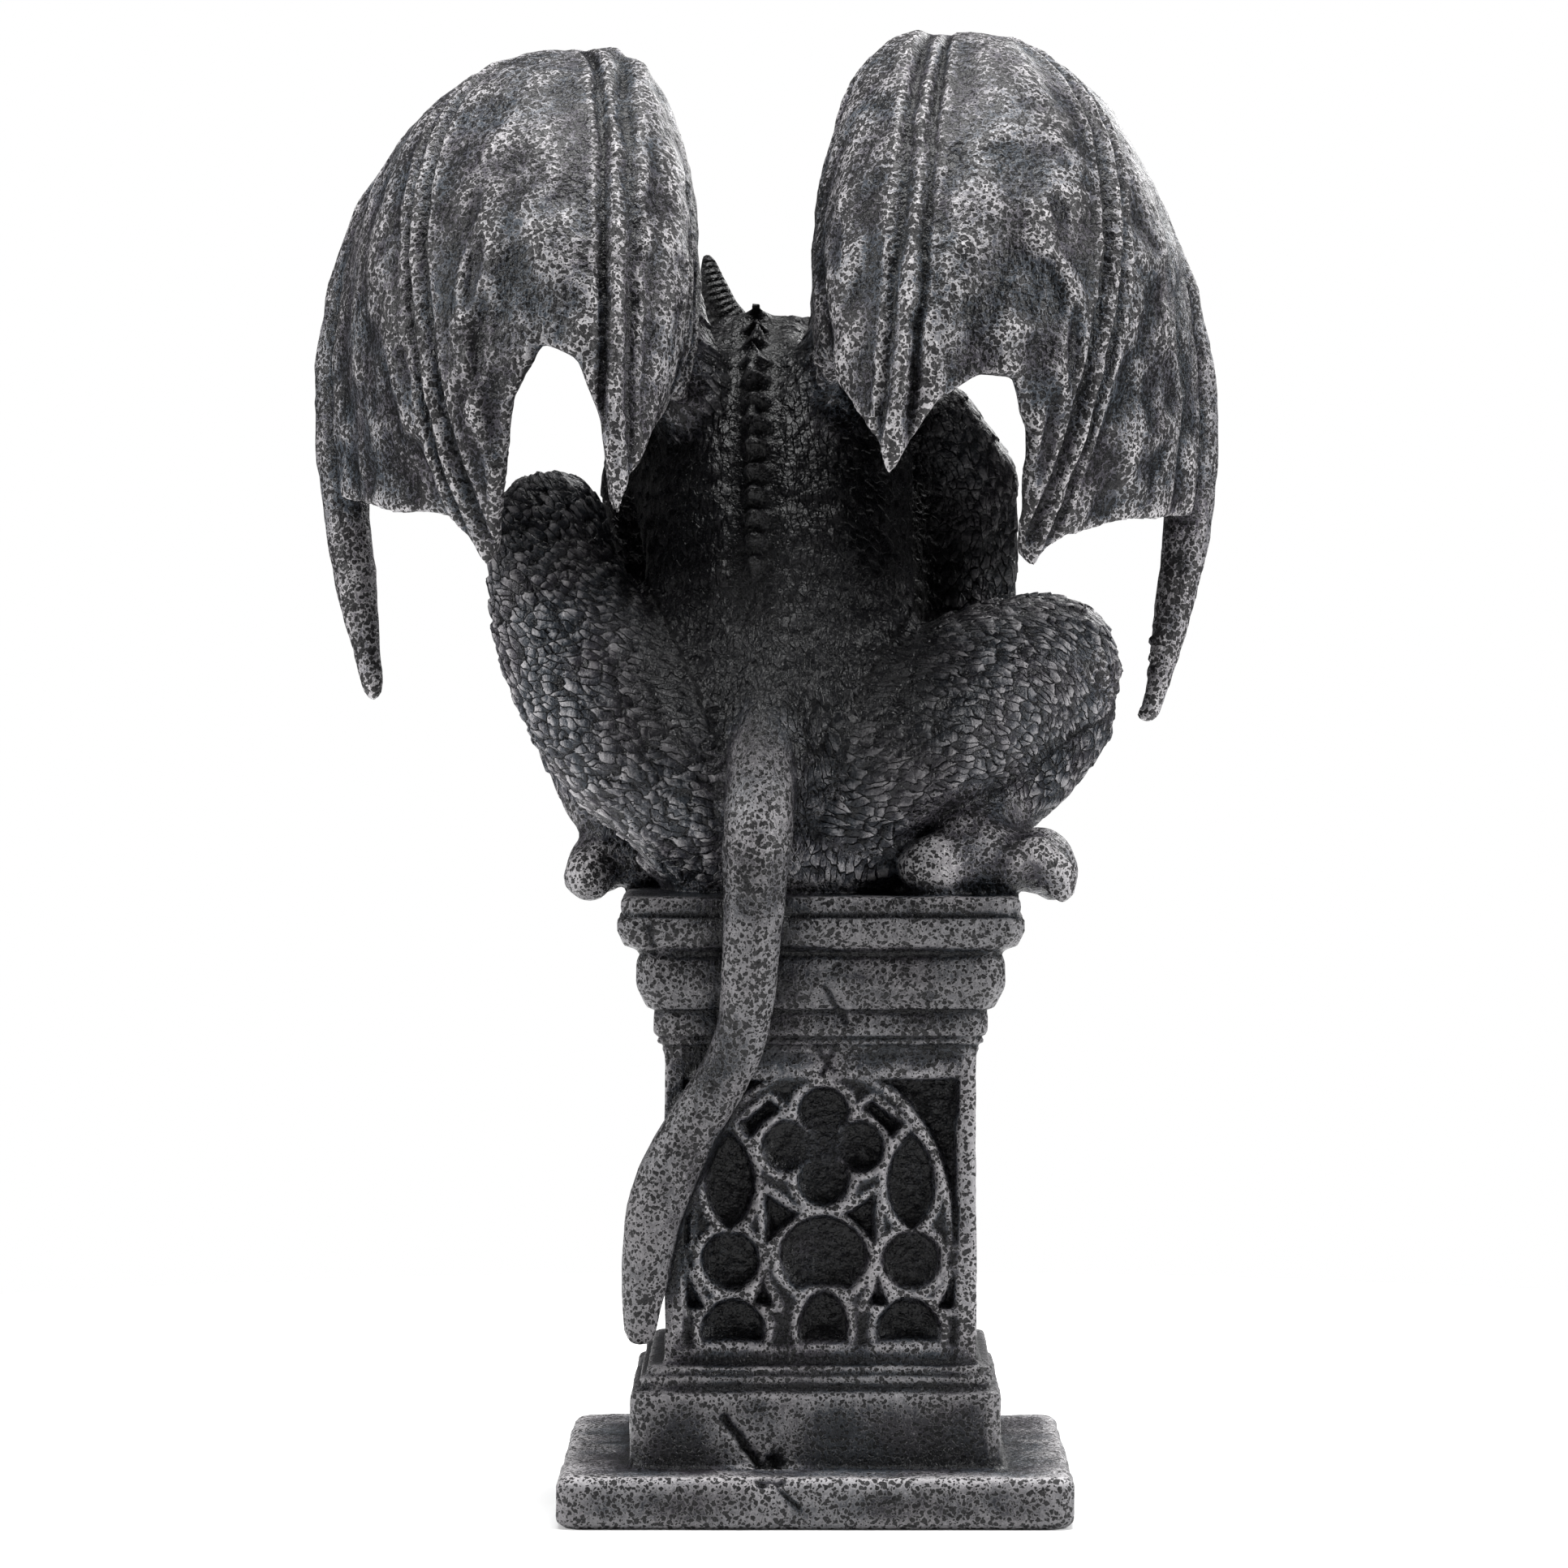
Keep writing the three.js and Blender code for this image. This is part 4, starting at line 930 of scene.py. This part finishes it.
brush_reach_and_painted_light = add(resin, "ShaderNodeAttribute", attribute_name="brush_reach_and_painted_light", give="Fac")
covered = add(resin, "ShaderNodeMapRange", (brushed, 0.65, 1.25, 0.0, 1.0))
covered = add(resin, "ShaderNodeMath", (covered, brush_reach_and_painted_light), operation="MULTIPLY")
colour = add(resin, "ShaderNodeMix", {0: covered, 6: linear("#0c0c0e"), 7: slate}, give=2, data_type="RGBA")
# The palest grey on the highest spots and pit lips: partly dry brush, partly a painted glint
pale_brush_and_glint = add(resin, "ShaderNodeMapRange", (brushed, 1.18, 1.7, 0.0, 1.0))
pale_brush_and_glint = add(resin, "ShaderNodeMath", (pale_brush_and_glint, brush_reach_and_painted_light), operation="MULTIPLY")
colour = add(resin, "ShaderNodeMix", {0: pale_brush_and_glint, 6: colour, 7: linear("#c2bfc1")}, give=2, data_type="RGBA")
# Pits go near black: partly the charcoal that the brush leaves there, partly painted shade inside the pits
pit_unbrushed_and_shade = add(resin, "ShaderNodeMath", (pit, 0.93), operation="MULTIPLY")
colour = add(resin, "ShaderNodeMix", {0: pit_unbrushed_and_shade, 6: colour, 7: linear("#060607")}, give=2, data_type="RGBA")
rough = add(resin, "ShaderNodeMapRange", (grain, 0.3, 0.7, 0.22, 0.4))
shader = add(resin, "ShaderNodeBsdfPrincipled", {
    "Base Color": colour,
    "Roughness": rough,
    "IOR": 1.5,
    "Specular IOR Level": 0.22,
    "Normal": relief,
})
add(resin, "ShaderNodeOutputMaterial", (shader,))

statue.data.materials.append(paint)
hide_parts("gargoyle_statue")
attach(statue, "root")


# The camera, a long lens level with the middle of the beast, turned a little down and to the left.
FOCAL_PIXELS = 8000
FRAME_PIXELS = 1932
camera = bpy.data.objects.new("camera", bpy.data.cameras.new("camera"))
bpy.context.scene.collection.objects.link(camera)
camera.data.sensor_width = 36
camera.data.lens = 36 * FOCAL_PIXELS / FRAME_PIXELS
camera.data.clip_end = 20
camera.location = (0, -1.294, 0.182)
aim = Vector((-39 / FOCAL_PIXELS, 1, -246 / FOCAL_PIXELS))
camera.rotation_mode = "QUATERNION"
camera.rotation_quaternion = aim.to_track_quat("-Z", "Y")
bpy.context.scene.camera = camera


# The studio: a pale floor, a white sky that gives little light, and soft boxes far to both sides of the
# camera, so that the hollow between the wings stays dark.
bpy.ops.object.select_all(action="DESELECT")
bpy.ops.mesh.primitive_circle_add(vertices=96, radius=0.42, fill_type="NGON", location=(0, 0, 0))
floor = bpy.context.object
floor.name = "studio_floor"
paper = bpy.data.materials.new("white_paper")
paper.use_nodes = True
paper.node_tree.nodes.clear()
sheet = add(paper.node_tree, "ShaderNodeBsdfDiffuse", (linear("#fafafa"),))
add(paper.node_tree, "ShaderNodeOutputMaterial", (sheet,))
floor.data.materials.append(paper)

world = bpy.data.worlds.new("studio")
bpy.context.scene.world = world
world.use_nodes = True
world.node_tree.nodes.clear()
seen = add(world.node_tree, "ShaderNodeLightPath", give="Is Camera Ray")
bright = add(world.node_tree, "ShaderNodeMapRange", (seen, 0.0, 1.0, 0.1, 1.0))
sky = add(world.node_tree, "ShaderNodeBackground", ((1, 1, 1, 1), bright))
add(world.node_tree, "ShaderNodeOutputWorld", (sky,))

STATUE_MIDDLE = (-0.01, 0, 0.16)
SOFT_BOXES = [
    # name, place, size, power
    ("left_soft_box", (-1.15, -0.3, 0.66), 0.5, 15),
    ("right_soft_box", (1.15, -0.36, 0.62), 0.5, 17),
    ("top_soft_box", (0, 0.06, 1.3), 0.8, 24),
    ("front_soft_box", (0.55, 1.3, 0.75), 0.6, 6),
]
for name, spot, size, power in SOFT_BOXES:
    light = bpy.data.objects.new(name, bpy.data.lights.new(name, "AREA"))
    light.data.size = size
    light.data.energy = power
    light.location = spot
    light.rotation_mode = "QUATERNION"
    light.rotation_quaternion = (Vector(STATUE_MIDDLE) - Vector(spot)).to_track_quat("-Z", "Y")
    bpy.context.scene.collection.objects.link(light)
bpy.context.scene.view_settings.view_transform = "Standard"
